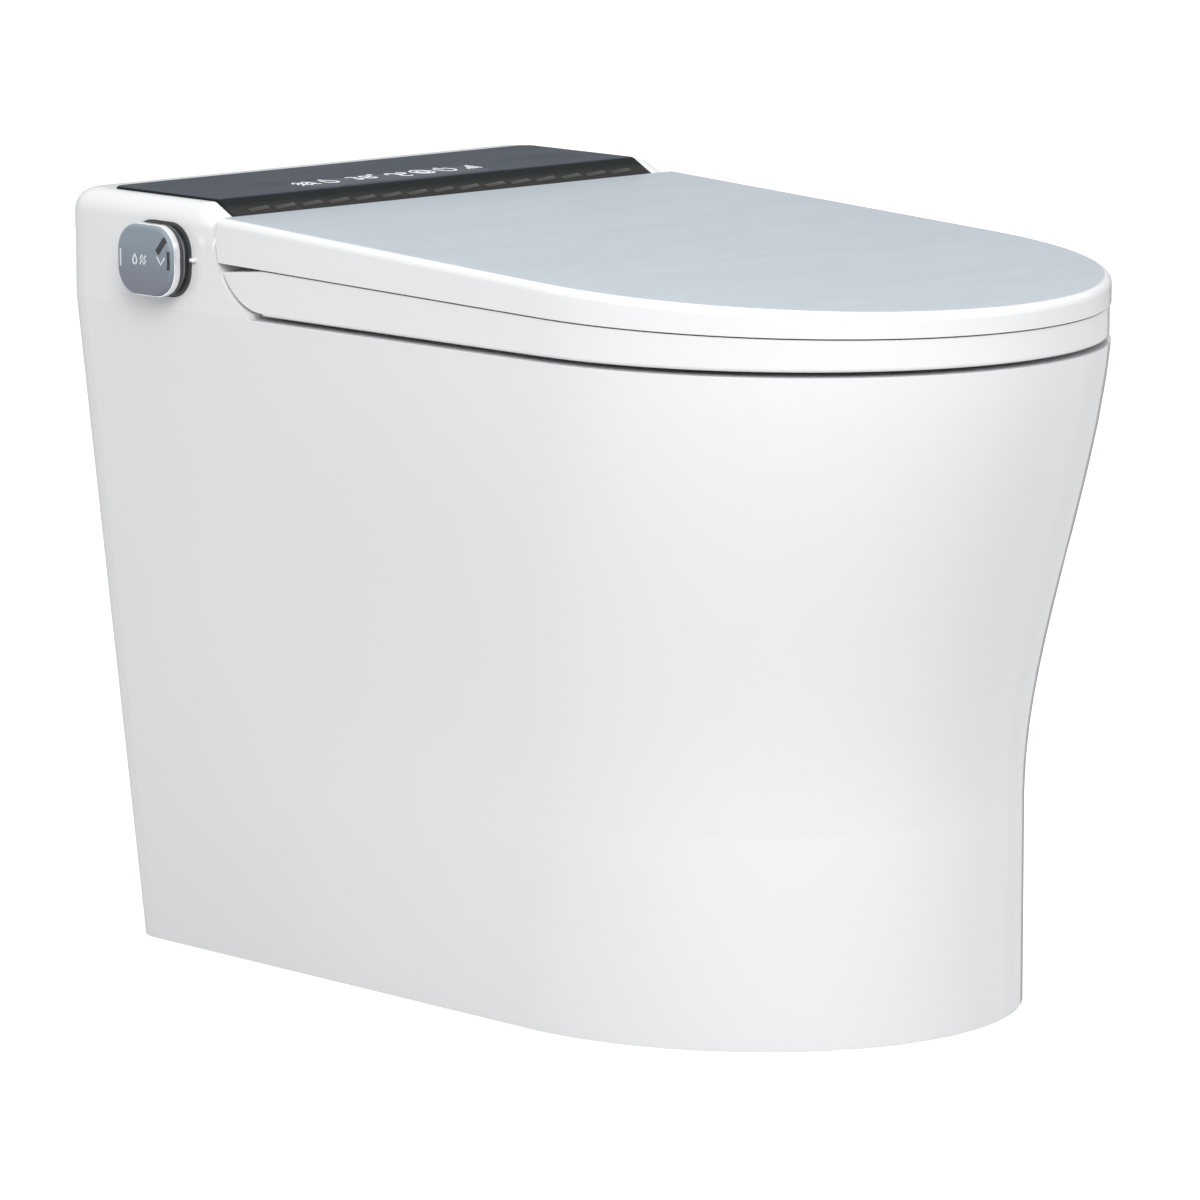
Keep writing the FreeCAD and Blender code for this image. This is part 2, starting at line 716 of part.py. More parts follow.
postSides = {"left": "postPlace - postWidth / 2", "right": "-(postPlace + postWidth / 2)"}
drop = "(hingeRise - armThickness)"
shift = drop + " * tan(postLean)"
for side, start in postSides.items():
    web = besideAxis(
        "postWeb" + side,
        [
            ("-knuckleRadius * cos(postLean)", "-knuckleRadius * sin(postLean)"),
            (shift + " - 9", "-" + drop),
            (shift + " + 12", "-" + drop),
            (shift + " + 12", "3 - " + drop),
            ("knuckleRadius * cos(postLean)", "knuckleRadius * sin(postLean)"),
        ],
        start,
        "postWidth",
    )
    eye = cylinder("postEye" + side, "knuckleRadius", "postWidth", start, hingeY, hingeZ, "x")
    bore = cylinder("postBore" + side, "shaftRadius", "postWidth + 2", start + " - 1", hingeY, hingeZ, "x")
    node("hinge_post_" + side, cut("hingePost" + side, fuse("post" + side, [web, eye]), [bore]))

shaftHalf = "(postWidth / 2 + knuckleGap + knuckleWidth + 1)"
for side, sign in (("left", ""), ("right", "-")):
    middle = f"({sign}postPlace)"
    shaft = cylinder("shaft" + side, "shaftRadius", "2 * " + shaftHalf, middle + " - " + shaftHalf, hingeY, hingeZ, "x")
    node("hinge_shaft_" + side, shaft)

innerEnd = "(postPlace - " + shaftHalf + ")"
lidDamper = cylinder("lidDamper", "damperRadius", "damperLength", innerEnd + " - damperLength", hingeY, hingeZ, "x")
node("lid_damper", lidDamper)
seatDamper = cylinder("seatDamper", "damperRadius", "damperLength", "-" + innerEnd, hingeY, hingeZ, "x")
node("seat_damper", seatDamper)

# Seat ------------------------------------------------------------------------

tip = "bodyLength"
rear = "hingeFromRear - tailRadius"


def reach(name, radius):
    """Everything ahead of the hinge axis, and a cylinder about it."""
    half = "(bodyWidth / 2 + 20)"
    ahead = box(name + "Ahead", ("-" + half, half), (fromRear("bodyLength + 20"), hingeY), ("deckHeight - 20", "deckHeight + 120"))
    round_ = cylinder(name + "Round", radius, "2 * " + half, "-" + half, hingeY, hingeZ, "x")
    return fuse(name, [ahead, round_])


seatFloor = "deckHeight + bumperHeight"


def seatTop(drop):
    """The top line of the seat in side view, lowered by a distance, from the tip to the tail."""
    fall = "((seatRearHeight - seatFrontHeight) / (bodyLength - 155) * (hingeFromRear - 155))"
    return [
        ("bodyLength + 10", f"deckHeight + seatFrontHeight - ({drop})"),
        ("hingeFromRear", f"deckHeight + seatRearHeight - {fall} - ({drop})"),
        ("hingeFromRear - 50", f"deckHeight + seatRearHeight - {fall} - 5 - ({drop})"),
    ]


def seatSolid(name, inset, low, dropTop):
    side = seatTop(dropTop) + [("hingeFromRear - 50", low), ("bodyLength + 10", low)]
    slab = sideSlab(name + "Slab", side, "bodyWidth + 20")
    plan = dPrism(name + "Plan", inset, "deckHeight - 10", "deckHeight + 80")
    return common(name, [slab, plan, reach(name + "Reach", f"tailRadius - ({inset})")])


def mirrored(name, make):
    """Two items, one on each side: make(name, low x, high x) is called with bound limits."""
    return lambda low, high: [make(name + "Left", low, high), make(name + "Right", f"-({high})", f"-({low})")]


postGapLow, postGapHigh = "postPlace - postWidth / 2 - 1", "postPlace + postWidth / 2 + 1"
notchFront = postFoot + " + 16"


def sideBoxes(name, low, high, y, z):
    return [
        box(name + "Left", (low, high), y, z),
        box(name + "Right", (f"-({high})", f"-({low})"), y, z),
    ]


seatOuter = seatSolid("seatOuter", "seatInset", seatFloor, "0")
seatSoft = rounded("seatSoft", seatOuter, "2", isSeatRim)
seatInner = seatSolid("seatInner", "seatInset + seatSkin", "deckHeight", "seatSkin")
seatHole = ovalPrism("seatHole", "0", "deckHeight - 5", "deckHeight + 60")
holeWall = ovalPrism("holeWall", "-seatSkin", "deckHeight - 5", "deckHeight + 60")
notchY = (fromRear(notchFront), fromRear("100"))
seatNotch = sideBoxes("seatNotch", postGapLow, postGapHigh, notchY, ("deckHeight - 5", "deckHeight + 90"))
notchWall = sideBoxes("notchWall", postGapLow + " - seatSkin", postGapHigh + " + seatSkin", (fromRear(notchFront + " + seatSkin"), fromRear("100")), ("deckHeight - 5", "deckHeight + 90"))
seatCavity = cut("seatCavity", seatInner, [holeWall] + notchWall)
seatSkinCut = cut("seatSkinCut", seatSoft, [seatCavity, seatHole] + seatNotch)
earLow = "postPlace - postWidth / 2 - knuckleGap - knuckleWidth"
ears = []
for side, start in (("Left", earLow), ("Right", f"-({earLow} + knuckleWidth)")):
    web = besideAxis("earWeb" + side, [("-knuckleRadius", "0"), ("-knuckleRadius", "-17"), ("22", "-17"), ("22", "-14"), ("knuckleRadius", "0")], start, "knuckleWidth")
    eye = cylinder("earEye" + side, "knuckleRadius", "knuckleWidth", start, hingeY, hingeZ, "x")
    ears += [web, eye]
earBores = [
    cylinder("earBore" + side, "shaftRadius + runningGap", "knuckleWidth + 2", start, hingeY, hingeZ, "x")
    for side, start in (("Left", earLow + " - 1"), ("Right", f"-({earLow} + knuckleWidth) - 1"))
]
node("seat_shell", cut("seatShell", fuse("seatWithEars", [seatSkinCut] + ears), earBores))

panPlan = seatSolid("panPlan", "seatInset + seatSkin + 0.2", seatFloor, "10")
panTop = box("panTop", ("-300", "300"), (fromRear("bodyLength + 10"), fromRear("0")), (seatFloor, seatFloor + " + seatPan"))
panFlat = common("panFlat", [panPlan, panTop])
panHole = ovalPrism("panHole", "-seatSkin - 0.2", "deckHeight - 5", "deckHeight + 60")
panNotch = sideBoxes("panNotch", postGapLow + " - seatSkin - 0.2", postGapHigh + " + seatSkin + 0.2", (fromRear(notchFront + " + seatSkin + 0.2"), fromRear("100")), ("deckHeight - 5", "deckHeight + 90"))
node("seat_pan", cut("seatPanBody", panFlat, [panHole] + panNotch))

padOuter = seatSolid("padOuter", "seatInset + seatSkin + 12", seatFloor + " + 6", "seatSkin")
padInner = sideSlab("padInner", seatTop("seatSkin + heaterThickness") + [("hingeFromRear - 50", "deckHeight"), ("bodyLength + 10", "deckHeight")], "bodyWidth + 20")
padHole = ovalPrism("padHole", "-seatSkin - 12", "deckHeight - 5", "deckHeight + 60")
padRear = box("padRear", ("-300", "300"), (fromRear(notchFront + " + 10"), fromRear("0")), ("deckHeight", "deckHeight + 60"))
node("seat_heating_pad", cut("heatingPad", padOuter, [padInner, padHole, padRear]))

bumperPlaces = [("150", "300"), ("150", "480"), ("-150", "300"), ("-150", "480")]
seatBumperItems = [cylinder(f"seatBumper{i}", "9", "bumperHeight", x, fromRear(p), "deckHeight") for i, (x, p) in enumerate(bumperPlaces)]
seatBumperSet = doc.addObject("Part::Compound", "seatBumperSet")
seatBumperSet.Links = seatBumperItems
node("seat_bumpers", seatBumperSet)

# Lid -------------------------------------------------------------------------


def lidTop(drop):
    return [("bodyLength + 10", f"deckHeight + lidFrontHeight - ({drop})"), ("140", f"deckHeight + lidRearHeight - ({drop})")]


def lidLow(rise):
    """The underside of the lid: parallel to the seat's top, a gap above it."""
    slope = "((seatRearHeight - seatFrontHeight) / (bodyLength - 155))"
    return [
        ("140", f"deckHeight + seatRearHeight + lidGap + {slope} * 15 + ({rise})"),
        ("bodyLength + 10", f"deckHeight + seatFrontHeight + lidGap + ({rise})"),
    ]


def lidSolid(name, inset, rise, drop):
    slab = sideSlab(name + "Slab", lidTop(drop) + lidLow(rise), "bodyWidth + 20")
    plan = dPrism(name + "Plan", inset, "deckHeight", "deckHeight + 80")
    return common(name, [slab, plan, reach(name + "Reach", f"tailRadius - ({inset})")])


lidOuter = lidSolid("lidOuter", "0", "0", "0")
lidSoft = rounded("lidSoft", lidOuter, "5", isLidRim)
lidInner = lidSolid("lidInner", "lidSkin", "-8", "lidSkin")
lidSlots = sideBoxes("lidSlot", postGapLow, postGapHigh, (hingeY, fromRear("100")), ("deckHeight", hingeZ + " + 6.5"))
knuckles = []
knuckleLow = "postPlace + postWidth / 2 + knuckleGap"
for side, start in (("Left", knuckleLow), ("Right", f"-({knuckleLow} + knuckleWidth)")):
    web = besideAxis("lidWeb" + side, [("-knuckleRadius", "0"), ("-knuckleRadius", "11"), ("knuckleRadius", "11"), ("knuckleRadius", "0")], start, "knuckleWidth")
    eye = cylinder("lidEye" + side, "knuckleRadius", "knuckleWidth", start, hingeY, hingeZ, "x")
    knuckles += [web, eye]
lidBores = [
    cylinder("lidBore" + side, "shaftRadius + runningGap", "knuckleWidth + 2", start, hingeY, hingeZ, "x")
    for side, start in (("Left", knuckleLow + " - 1"), ("Right", f"-({knuckleLow} + knuckleWidth) - 1"))
]
lidSkinCut = cut("lidSkinCut", lidSoft, [lidInner] + lidSlots)
node("lid_shell", cut("lidShell", fuse("lidWithKnuckles", [lidSkinCut] + knuckles), lidBores))

linerOuter = lidSolid("linerOuter", "lidSkin + 0.2", "0", "lidSkin + 0.2")
linerAbove = sideSlab("linerAbove", [("bodyLength + 20", "deckHeight + 120"), ("130", "deckHeight + 120")] + lidLow("linerThickness"), "bodyWidth + 30")
linerSlots = sideBoxes("linerSlot", earLow + " - 2", knuckleLow + " + knuckleWidth + 2", (fromRear(notchFront), fromRear("100")), ("deckHeight", "deckHeight + 90"))
node("lid_liner", cut("lidLiner", linerOuter, [linerAbove] + linerSlots))

lidFeet = [cylinder(f"lidFoot{i}", "7", "30", x, fromRear(p), "deckHeight + 15") for i, (x, p) in enumerate(bumperPlaces)]
footSlab = sideSlab("footSlab", [(c[0], c[1]) for c in lidLow("0")][::-1] + [(c[0], c[1]) for c in lidLow("-lidGap + 0.1")], "bodyWidth")
footSet = doc.addObject("Part::Compound", "footSet")
footSet.Links = lidFeet
node("lid_bumpers", common("lidBumpers", [footSet, footSlab]))

# Knob ------------------------------------------------------------------------

sideX = "(bodyWidth / 2)"
bezel = turned(
    "bezelBody",
    [("knobStemRadius + runningGap", "0"), ("bezelRadius", "0"), ("bezelRadius", "bezelDepth", "1"), ("knobStemRadius + runningGap", "bezelDepth")],
    "-" + sideX,
    knobY,
    knobZ,
    (0, 1, 0),
    "-90",
)
node("knob_bezel", bezel)
capX = "-(bodyWidth / 2 + bezelDepth + knobTravel + knobGap + knobDepth)"
capCorners = [(a, b, "knobCorner") for a, b in (("-knobWidth / 2", "-knobHeight / 2"), ("knobWidth / 2", "-knobHeight / 2"), ("knobWidth / 2", "knobHeight / 2"), ("-knobWidth / 2", "knobHeight / 2"))]
capBlock = padded("capBlock", "YZ_Plane", capCorners, "knobDepth", x=capX, y=knobY, z=knobZ)
capSoft = rounded("capSoft", capBlock, "2.5", lambda e: e.BoundBox.XMax < number(capX) + 0.1)
capStem = cylinder("capStem", "knobStemRadius", "knobTravel + knobGap + bezelDepth + 24", capX + " + knobDepth - 0.5", knobY, knobZ, "x")
keyWay = box("keyWay", ("-(bodyWidth / 2 + 4)", "0"), (knobY + " - 2.5", knobY + " + 2.5"), (knobZ + " - 2.5", knobZ + " + 2.5"))
keyRoom = box("keyRoom", ("-(bodyWidth / 2)", "-(bodyWidth / 2 - 40)"), (knobY + " - 2.45", knobY + " + 2.45"), (knobZ + " - 2.45", knobZ + " + 2.45"))
node("knob_cap", cut("knobCap", fuse("capWithStem", [capSoft, capStem]), [keyWay]))
encoderX = "-(bodyWidth / 2 - housingWall - 8)"
key = box("knobKey", ("-(bodyWidth / 2 + 1)", encoderX + " + 14"), (knobY + " - 2.4", knobY + " + 2.4"), (knobZ + " - 2.4", knobZ + " + 2.4"))
disc = cylinder("knobDisc", "9", "3", encoderX + " + 14", knobY, knobZ, "x")
node("knob_spindle", fuse("knobSpindle", [key, disc]))
encoderBox = box("encoderBox", (encoderX, encoderX + " + 22"), (knobY + " - encoderSize / 2", knobY + " + encoderSize / 2"), (plateTop, knobZ + " + encoderSize / 2"))
stemRoom = cylinder("stemRoom", "knobStemRadius + runningGap", "14", encoderX + " - 1", knobY, knobZ, "x")
discRoom = cylinder("discRoom", "9.5", "5", encoderX + " + 13", knobY, knobZ, "x")
node("knob_encoder", cut("knobEncoder", encoderBox, [stemRoom, discRoom]))

# Spray wands -----------------------------------------------------------------

lean = "90 + wandSlope"


def alongWand(back, up="0"):
    """Y and Z of a point a distance back along the wands and above their axis."""
    y = fromRear("wandPortFromRear") + f" + ({back}) * cos(wandSlope) - ({up}) * sin(wandSlope)"
    z = f"{wandPortHeight} + ({back}) * sin(wandSlope) + ({up}) * cos(wandSlope)"
    return y, z


def wandCylinder(name, radius, length, x, back):
    item = doc.addObject("Part::Cylinder", name)
    bind(item, "Radius", radius)
    bind(item, "Height", length)
    y, z = alongWand(back)
    place(item, x, y, z, (1, 0, 0), lean)
    return item


def wandBlock(name, x, back, up):
    """A box whose long side lies along the wands."""
    item = doc.addObject("Part::Box", name)
    bind(item, "Length", f"({x[1]}) - ({x[0]})")
    bind(item, "Width", f"({back[1]}) - ({back[0]})")
    bind(item, "Height", f"({up[1]}) - ({up[0]})")
    y, z = alongWand(back[0], up[0])
    place(item, x[0], y, z, (1, 0, 0), "wandSlope")
    return item


cradleHalf = "(wandSpacing / 2 + wandRadius + 5)"
cradleBlock = wandBlock("cradleBlock", ("-" + cradleHalf, cradleHalf), ("0", "cradleLength"), ("-(wandRadius + 4)", "wandRadius + 4"))
wandBores = [wandCylinder("wandBore" + n, "wandRadius + wandClearance", "wandLength + 20", x, "wandLength + 10") for n, x in (("Rear", "-wandSpacing / 2"), ("Front", "wandSpacing / 2"))]
cradleFoot = wandBlock("cradleFoot", ("-" + cradleHalf, cradleHalf), ("10", "40"), ("-channelDrop * cos(wandSlope)", "-wandRadius - 2"))
node("wand_cradle", cut("wandCradle", fuse("cradle", [cradleBlock, cradleFoot]), wandBores))
for name, x in (("rear", "-wandSpacing / 2"), ("front", "wandSpacing / 2")):
    tube = wandCylinder("tube" + name, "wandRadius", "wandLength - wandTipLength", x, "wandLength")
    node(f"{name}_wand_tube", tube)
    tipRod = wandCylinder("tipRod" + name, "wandRadius", "wandTipLength", x, "wandTipLength")
    tipSoft = rounded("tipSoft" + name, tipRod, "wandRadius * 0.7", isWandNose)
    jets = []
    for i, back in enumerate(("8", "13", "18") if name == "front" else ("9", "14")):
        jet = doc.addObject("Part::Cylinder", f"jet{name}{i}")
        bind(jet, "Radius", "1.2")
        bind(jet, "Height", "6")
        y, z = alongWand(back, "wandRadius - 3")
        place(jet, x, y, z, (1, 0, 0), "wandSlope")
        jets.append(jet)
    node(f"{name}_wand_tip", cut("tipBody" + name, tipSoft, jets))
motorWidth = "18"
motorX = {"rear": ("-" + cradleHalf + " - 18", "-" + cradleHalf), "front": (cradleHalf, cradleHalf + " + 18")}
for name, x in motorX.items():
    motorBox = wandBlock(f"{name}MotorBox", x, ("48", "70"), ("-9", "9"))
    node(f"{name}_wand_motor", motorBox)

# Dryer -----------------------------------------------------------------------

ductX = ("ductCentre - ductWidth / 2", "ductCentre + ductWidth / 2")
ductLow = f"({wandPortHeight} - 8)"
ductY = (fromRear("wandPortFromRear"), fromRear("blowerFromRear + blowerRadius - 4"))
ductOuter = sideSlab("ductOuter", [("wandPortFromRear", ductLow), ("wandPortFromRear", ductLow + " + ductHeight"), ("178", ductLow + " + ductHeight + 5"), ("blowerFromRear + blowerRadius", plateTop + " + blowerHeight"), ("blowerFromRear + blowerRadius", plateTop + " + 2"), ("160", ductLow + " + 22")], "ductWidth")
place(ductOuter, "ductCentre", "0", "0")
ductInner = sideSlab("ductInner", [("wandPortFromRear + 1", ductLow + " + ductWall"), ("wandPortFromRear + 1", ductLow + " + ductHeight - ductWall"), ("177", ductLow + " + ductHeight + 5 - ductWall"), ("blowerFromRear + blowerRadius - 1", plateTop + " + blowerHeight - ductWall"), ("blowerFromRear + blowerRadius - 1", plateTop + " + 2 + ductWall"), ("161", ductLow + " + 22 + ductWall")], "ductWidth - 2 * ductWall")
place(ductInner, "ductCentre", "0", "0")


def channelFloor(p):
    """The height of the channel's floor at a distance from the rear."""
    return f"{wandPortHeight} + (wandPortFromRear - ({p})) * tan(wandSlope) - channelDrop"


ductFoot = sideSlab("ductFoot", [("215", channelFloor("215")), ("215", ductLow + " + 8.4"), ("205", ductLow + " + 11"), ("205", channelFloor("205"))], "ductWidth - 10")
place(ductFoot, "ductCentre", "0", "0")
node("dryer_duct", cut("dryerDuct", fuse("ductWithFoot", [ductOuter, ductFoot]), [ductInner]))
flapX = (ductX[0] + " + 0.5", ductX[1] + " - 0.5")
flapY = fromRear("wandPortFromRear + 1")
flapTop = ductLow + " + ductHeight - 2"
flapPlate = box("flapPlate", flapX, (flapY + " - flapThickness", flapY), (ductLow + " + 1", flapTop))
flapEye = cylinder("flapEye", "flapPinRadius + 1.6", "ductWidth - 9", flapX[0] + " + 4", flapY + " - flapThickness", flapTop, "x")
flapBore = cylinder("flapBore", "flapPinRadius + runningGap", "ductWidth + 4", ductX[0] + " - 2", flapY + " - flapThickness", flapTop, "x")
node("dryer_flap", cut("dryerFlap", fuse("flap", [flapPlate, flapEye]), [flapBore]))
node("dryer_flap_pin", cylinder("flapPin", "flapPinRadius", "ductWidth", ductX[0], flapY + " - flapThickness", flapTop, "x"))

blowerY = fromRear("blowerFromRear")
blowerOuter = turned("blowerCase", [("0", "0"), ("blowerRadius", "0"), ("blowerRadius", "blowerHeight", "3"), ("0", "blowerHeight")], "blowerCentre", blowerY, plateTop)
blowerRoom = cylinder("blowerRoom", "blowerRadius - 3", "blowerHeight - 6", "blowerCentre", blowerY, plateTop + " + 3")
blowerInlet = cylinder("blowerInlet", "18", "10", "blowerCentre", blowerY, plateTop + " + blowerHeight - 5")
motorHole = cylinder("motorHole", "2", "10", "blowerCentre", blowerY, plateTop + " - 1")
node("blower_housing", cut("blowerHousing", blowerOuter, [blowerRoom, blowerInlet]))
hub = turned("impellerHub", [("2.05", "0"), ("impellerRadius", "0"), ("impellerRadius", "1.5"), ("8", "1.5"), ("6", "12", "2"), ("2.05", "12")], "blowerCentre", blowerY, plateTop + " + 4")
blades = []
for i in range(int(sizes["impellerBlades"])):
    blade = box(f"blade{i}", ("0", "9"), ("0", "1.2"), ("0", "impellerHeight - 1"))
    angle = 360 * i / sizes["impellerBlades"]
    turn = math.radians(angle)
    reachIn = "(impellerRadius - 10)"
    place(blade, f"blowerCentre + {reachIn} * cos({angle})", blowerY + f" + {reachIn} * sin({angle})", plateTop + " + 5", (0, 0, 1), f"{angle} + 25")
    blades.append(blade)
node("blower_impeller", fuse("blowerImpeller", [hub] + blades))
shaftRod = cylinder("motorShaft", "2", "18", "blowerCentre", blowerY, plateTop + " + 3")
node("blower_shaft", shaftRod)

# Water and power parts inside ------------------------------------------------

heater = cylinder("heaterCan", "17", "100", "-150", fromRear("36"), plateTop + " + 19", "x")
heaterFeet = [box(f"heaterFoot{i}", (x, x + " + 8"), (fromRear("48"), fromRear("24")), (plateTop, plateTop + " + 19")) for i, x in enumerate(("-138", "-72"))]
node("instant_heater", fuse("instantHeater", [heater] + heaterFeet))
valveBase = box("valveBase", ("-115", "-62"), (fromRear("134"), fromRear("100")), (plateTop, plateTop + " + 16"))
coils = [cylinder(f"coil{i}", "9", "20", x, fromRear("117"), plateTop + " + 15") for i, x in enumerate(("-103", "-75"))]
node("valve_block", fuse("valveBlock", [valveBase] + coils))
pumpBox = box("airPumpBox", ("-150", "-122"), (fromRear("134"), fromRear("84")), (plateTop, plateTop + " + 30"))
node("air_pump", rounded("airPump", pumpBox, "4", isUpright))
supply = box("supplyBox", ("-44", "44"), (fromRear("74"), fromRear("18")), (plateTop, plateTop + " + 32"))
node("power_supply", rounded("powerSupply", supply, "3", isUpright))
board = box("boardSheet", ("-44", "44"), (fromRear("74"), fromRear("18")), (plateTop + " + 38", plateTop + " + 40"))
standoffs = [cylinder(f"standoff{i}", "3", "6", x, fromRear(p), plateTop + " + 32") for i, (x, p) in enumerate([("-36", "26"), ("36", "26"), ("-36", "66"), ("36", "66")])]
node("control_board", fuse("controlBoard", [board] + standoffs))
odourBox = box("odourBox", ("66", "150"), (fromRear("46"), fromRear("14")), (plateTop, plateTop + " + 34"))
odourRoom = box("odourRoom", ("70", "112"), (fromRear("43"), fromRear("17")), (plateTop + " + 3", plateTop + " + 40"))
fanRoom = cylinder("fanRoom", "12", "34", "132", fromRear("30"), plateTop + " + 3")
node("deodoriser_housing", cut("deodoriserHousing", odourBox, [odourRoom, fanRoom]))
node("carbon_cartridge", box("cartridge", ("71", "111"), (fromRear("42"), fromRear("18")), (plateTop + " + 3", plateTop + " + 33")))
fanHub = cylinder("fanHub", "4", "10", "132", fromRear("30"), plateTop + " + 4")
fanBlades = []
for i in range(5):
    blade = box(f"fanBlade{i}", ("0", "10"), ("0", "1.2"), ("0", "8"))
    place(blade, "132", fromRear("30"), plateTop + " + 5", (0, 0, 1), f"{72 * i}")
    fanBlades.append(blade)
fanBore = cylinder("fanBore", "1.55", "14", "132", fromRear("30"), plateTop + " + 2")
node("deodoriser_fan", cut("deodoriserFan", fuse("fan", [fanHub] + fanBlades), [fanBore]))
node("deodoriser_shaft", cylinder("fanShaft", "1.5", "14", "132", fromRear("30"), plateTop + " + 3"))

tank = box("tankBox", ("-30", "wellHalfWidth - 6"), (fromRear("140"), fromRear("72")), (wellFloor, wellFloor + " + 84"))
node("water_tank", rounded("waterTank", tank, "12", isUpright))
pumpBody = turned("flushPumpBody", [("0", "0"), ("34", "0"), ("34", "12", "3"), ("28", "14", "2"), ("28", "78", "6"), ("0", "78")], "-100", fromRear("105"), wellFloor)
node("flush_pump", pumpBody)
inlet = turned("inletBody", [("5", "0"), ("inletRadius", "0"), ("inletRadius", "22"), ("16", "22"), ("16", "26"), ("12", "30"), ("12", "48"), ("5", "48")], "inletPlace", fromRear("6"), "inletHeight", (1, 0, 0), "90")
filterBody = box("filterBody", ("inletPlace - 20", "inletPlace + 20"), (fromRear("71.7"), fromRear("54")), (wellFloor, "inletHeight + 20"))
node("water_inlet", inlet)
node("inlet_valve", filterBody)
gland = turned("glandBody", [("4", "-2"), ("glandRadius", "-2"), ("glandRadius", "housingWall + 1"), ("glandRadius + 3", "housingWall + 1"), ("glandRadius + 3", "housingWall + 4"), ("4", "housingWall + 4")], "-glandPlace", fromRear("0"), "deckHeight + 22", (1, 0, 0), "90")
node("cable_gland", gland)

# Check and write -------------------------------------------------------------

doc.recompute()
bad = [o.Name for o in doc.Objects if any(s in o.State for s in ("Invalid", "Error"))]
if bad:
    print("failed objects: " + ", ".join(bad))
for name, item in nodes.items():
    if item.Shape.isNull() or not item.Shape.isValid():
        print("bad shape: " + name)
os.makedirs("parts", exist_ok=True)
for name, item in nodes.items():
    item.Shape.exportStep(f"parts/{name}.step")
    box_ = item.Shape.BoundBox
    print(f"{name:22s} solids {len(item.Shape.Solids)} volume {item.Shape.Volume / 1000:9.1f} cm3")
print(len(nodes), "sub-parts")
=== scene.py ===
import json
import math

import bmesh
import bpy
from mathutils import Matrix, Vector


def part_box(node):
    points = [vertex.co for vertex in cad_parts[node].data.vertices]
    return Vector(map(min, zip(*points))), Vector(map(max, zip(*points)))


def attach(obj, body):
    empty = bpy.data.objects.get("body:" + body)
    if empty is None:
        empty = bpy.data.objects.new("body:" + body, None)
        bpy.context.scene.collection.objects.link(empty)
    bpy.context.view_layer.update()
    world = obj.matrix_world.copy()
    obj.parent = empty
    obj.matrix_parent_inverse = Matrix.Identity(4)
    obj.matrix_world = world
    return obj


print("reading the packed frame")
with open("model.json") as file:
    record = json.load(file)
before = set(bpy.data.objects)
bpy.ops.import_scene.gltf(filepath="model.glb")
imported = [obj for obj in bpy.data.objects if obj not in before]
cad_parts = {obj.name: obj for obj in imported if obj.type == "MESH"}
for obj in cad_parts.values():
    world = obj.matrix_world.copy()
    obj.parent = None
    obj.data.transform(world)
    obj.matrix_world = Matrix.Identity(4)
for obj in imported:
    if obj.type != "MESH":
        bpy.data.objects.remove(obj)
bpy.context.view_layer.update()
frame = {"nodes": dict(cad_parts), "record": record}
nodes = frame["nodes"]


# node helpers

def addNode(tree, kind, inputs=None, **settings):
    item = tree.nodes.new(kind)
    for key, value in settings.items():
        setattr(item, key, value)
    for key, value in (inputs or {}).items():
        feed(tree, item.inputs[key], value)
    return item


def feed(tree, socket, value):
    if isinstance(value, bpy.types.NodeSocket):
        tree.links.new(value, socket)
    elif isinstance(value, bpy.types.Node):
        tree.links.new(value.outputs[0], socket)
    elif socket.type == "RGBA" and len(value) == 3:
        socket.default_value = (*value, 1)
    else:
        socket.default_value = value


def newGroup(name, inputs, outputs):
    group = bpy.data.node_groups.new(name, "ShaderNodeTree")
    for label, kind, start in inputs:
        socket = group.interface.new_socket(label, in_out="INPUT", socket_type=kind)
        if start is not None:
            socket.default_value = start
    for label, kind in outputs:
        group.interface.new_socket(label, in_out="OUTPUT", socket_type=kind)
    return group, addNode(group, "NodeGroupInput"), addNode(group, "NodeGroupOutput")


def useGroup(tree, group, inputs):
    item = tree.nodes.new("ShaderNodeGroup")
    item.node_tree = group
    for key, value in inputs.items():
        feed(tree, item.inputs[key], value)
    return item


def newMaterial(name):
    material = bpy.data.materials.new(name)
    material.use_nodes = True
    tree = material.node_tree
    shader = tree.nodes["Principled BSDF"]
    place = addNode(tree, "ShaderNodeTexCoord")
    return material, tree, shader, place


def mixColours(tree, factor, first, second, blend="MIX"):
    item = addNode(tree, "ShaderNodeMix", data_type="RGBA", blend_type=blend)
    feed(tree, item.inputs["Factor"], factor)
    feed(tree, item.inputs["A"], first)
    feed(tree, item.inputs["B"], second)
    return item.outputs["Result"]


def noise(tree, place, scale, detail=2.0, roughness=0.5):
    inputs = {"Vector": place, "Scale": scale, "Detail": detail, "Roughness": roughness}
    return addNode(tree, "ShaderNodeTexNoise", inputs).outputs["Fac"]


def remap(tree, value, source=(0.0, 1.0), target=(0.0, 1.0), **settings):
    inputs = {
        "Value": value,
        "From Min": source[0],
        "From Max": source[1],
        "To Min": target[0],
        "To Max": target[1],
    }
    return addNode(tree, "ShaderNodeMapRange", inputs, **settings)


def bumpFrom(tree, height, strength, distance, **settings):
    inputs = {"Strength": strength, "Distance": distance, "Height": height}
    return addNode(tree, "ShaderNodeBump", inputs, **settings)


# effects that several finishes share

characterOutputs = [
    ("Tone", "NodeSocketFloat"),
    ("Roughness", "NodeSocketFloat"),
    ("Normal", "NodeSocketVector"),
]


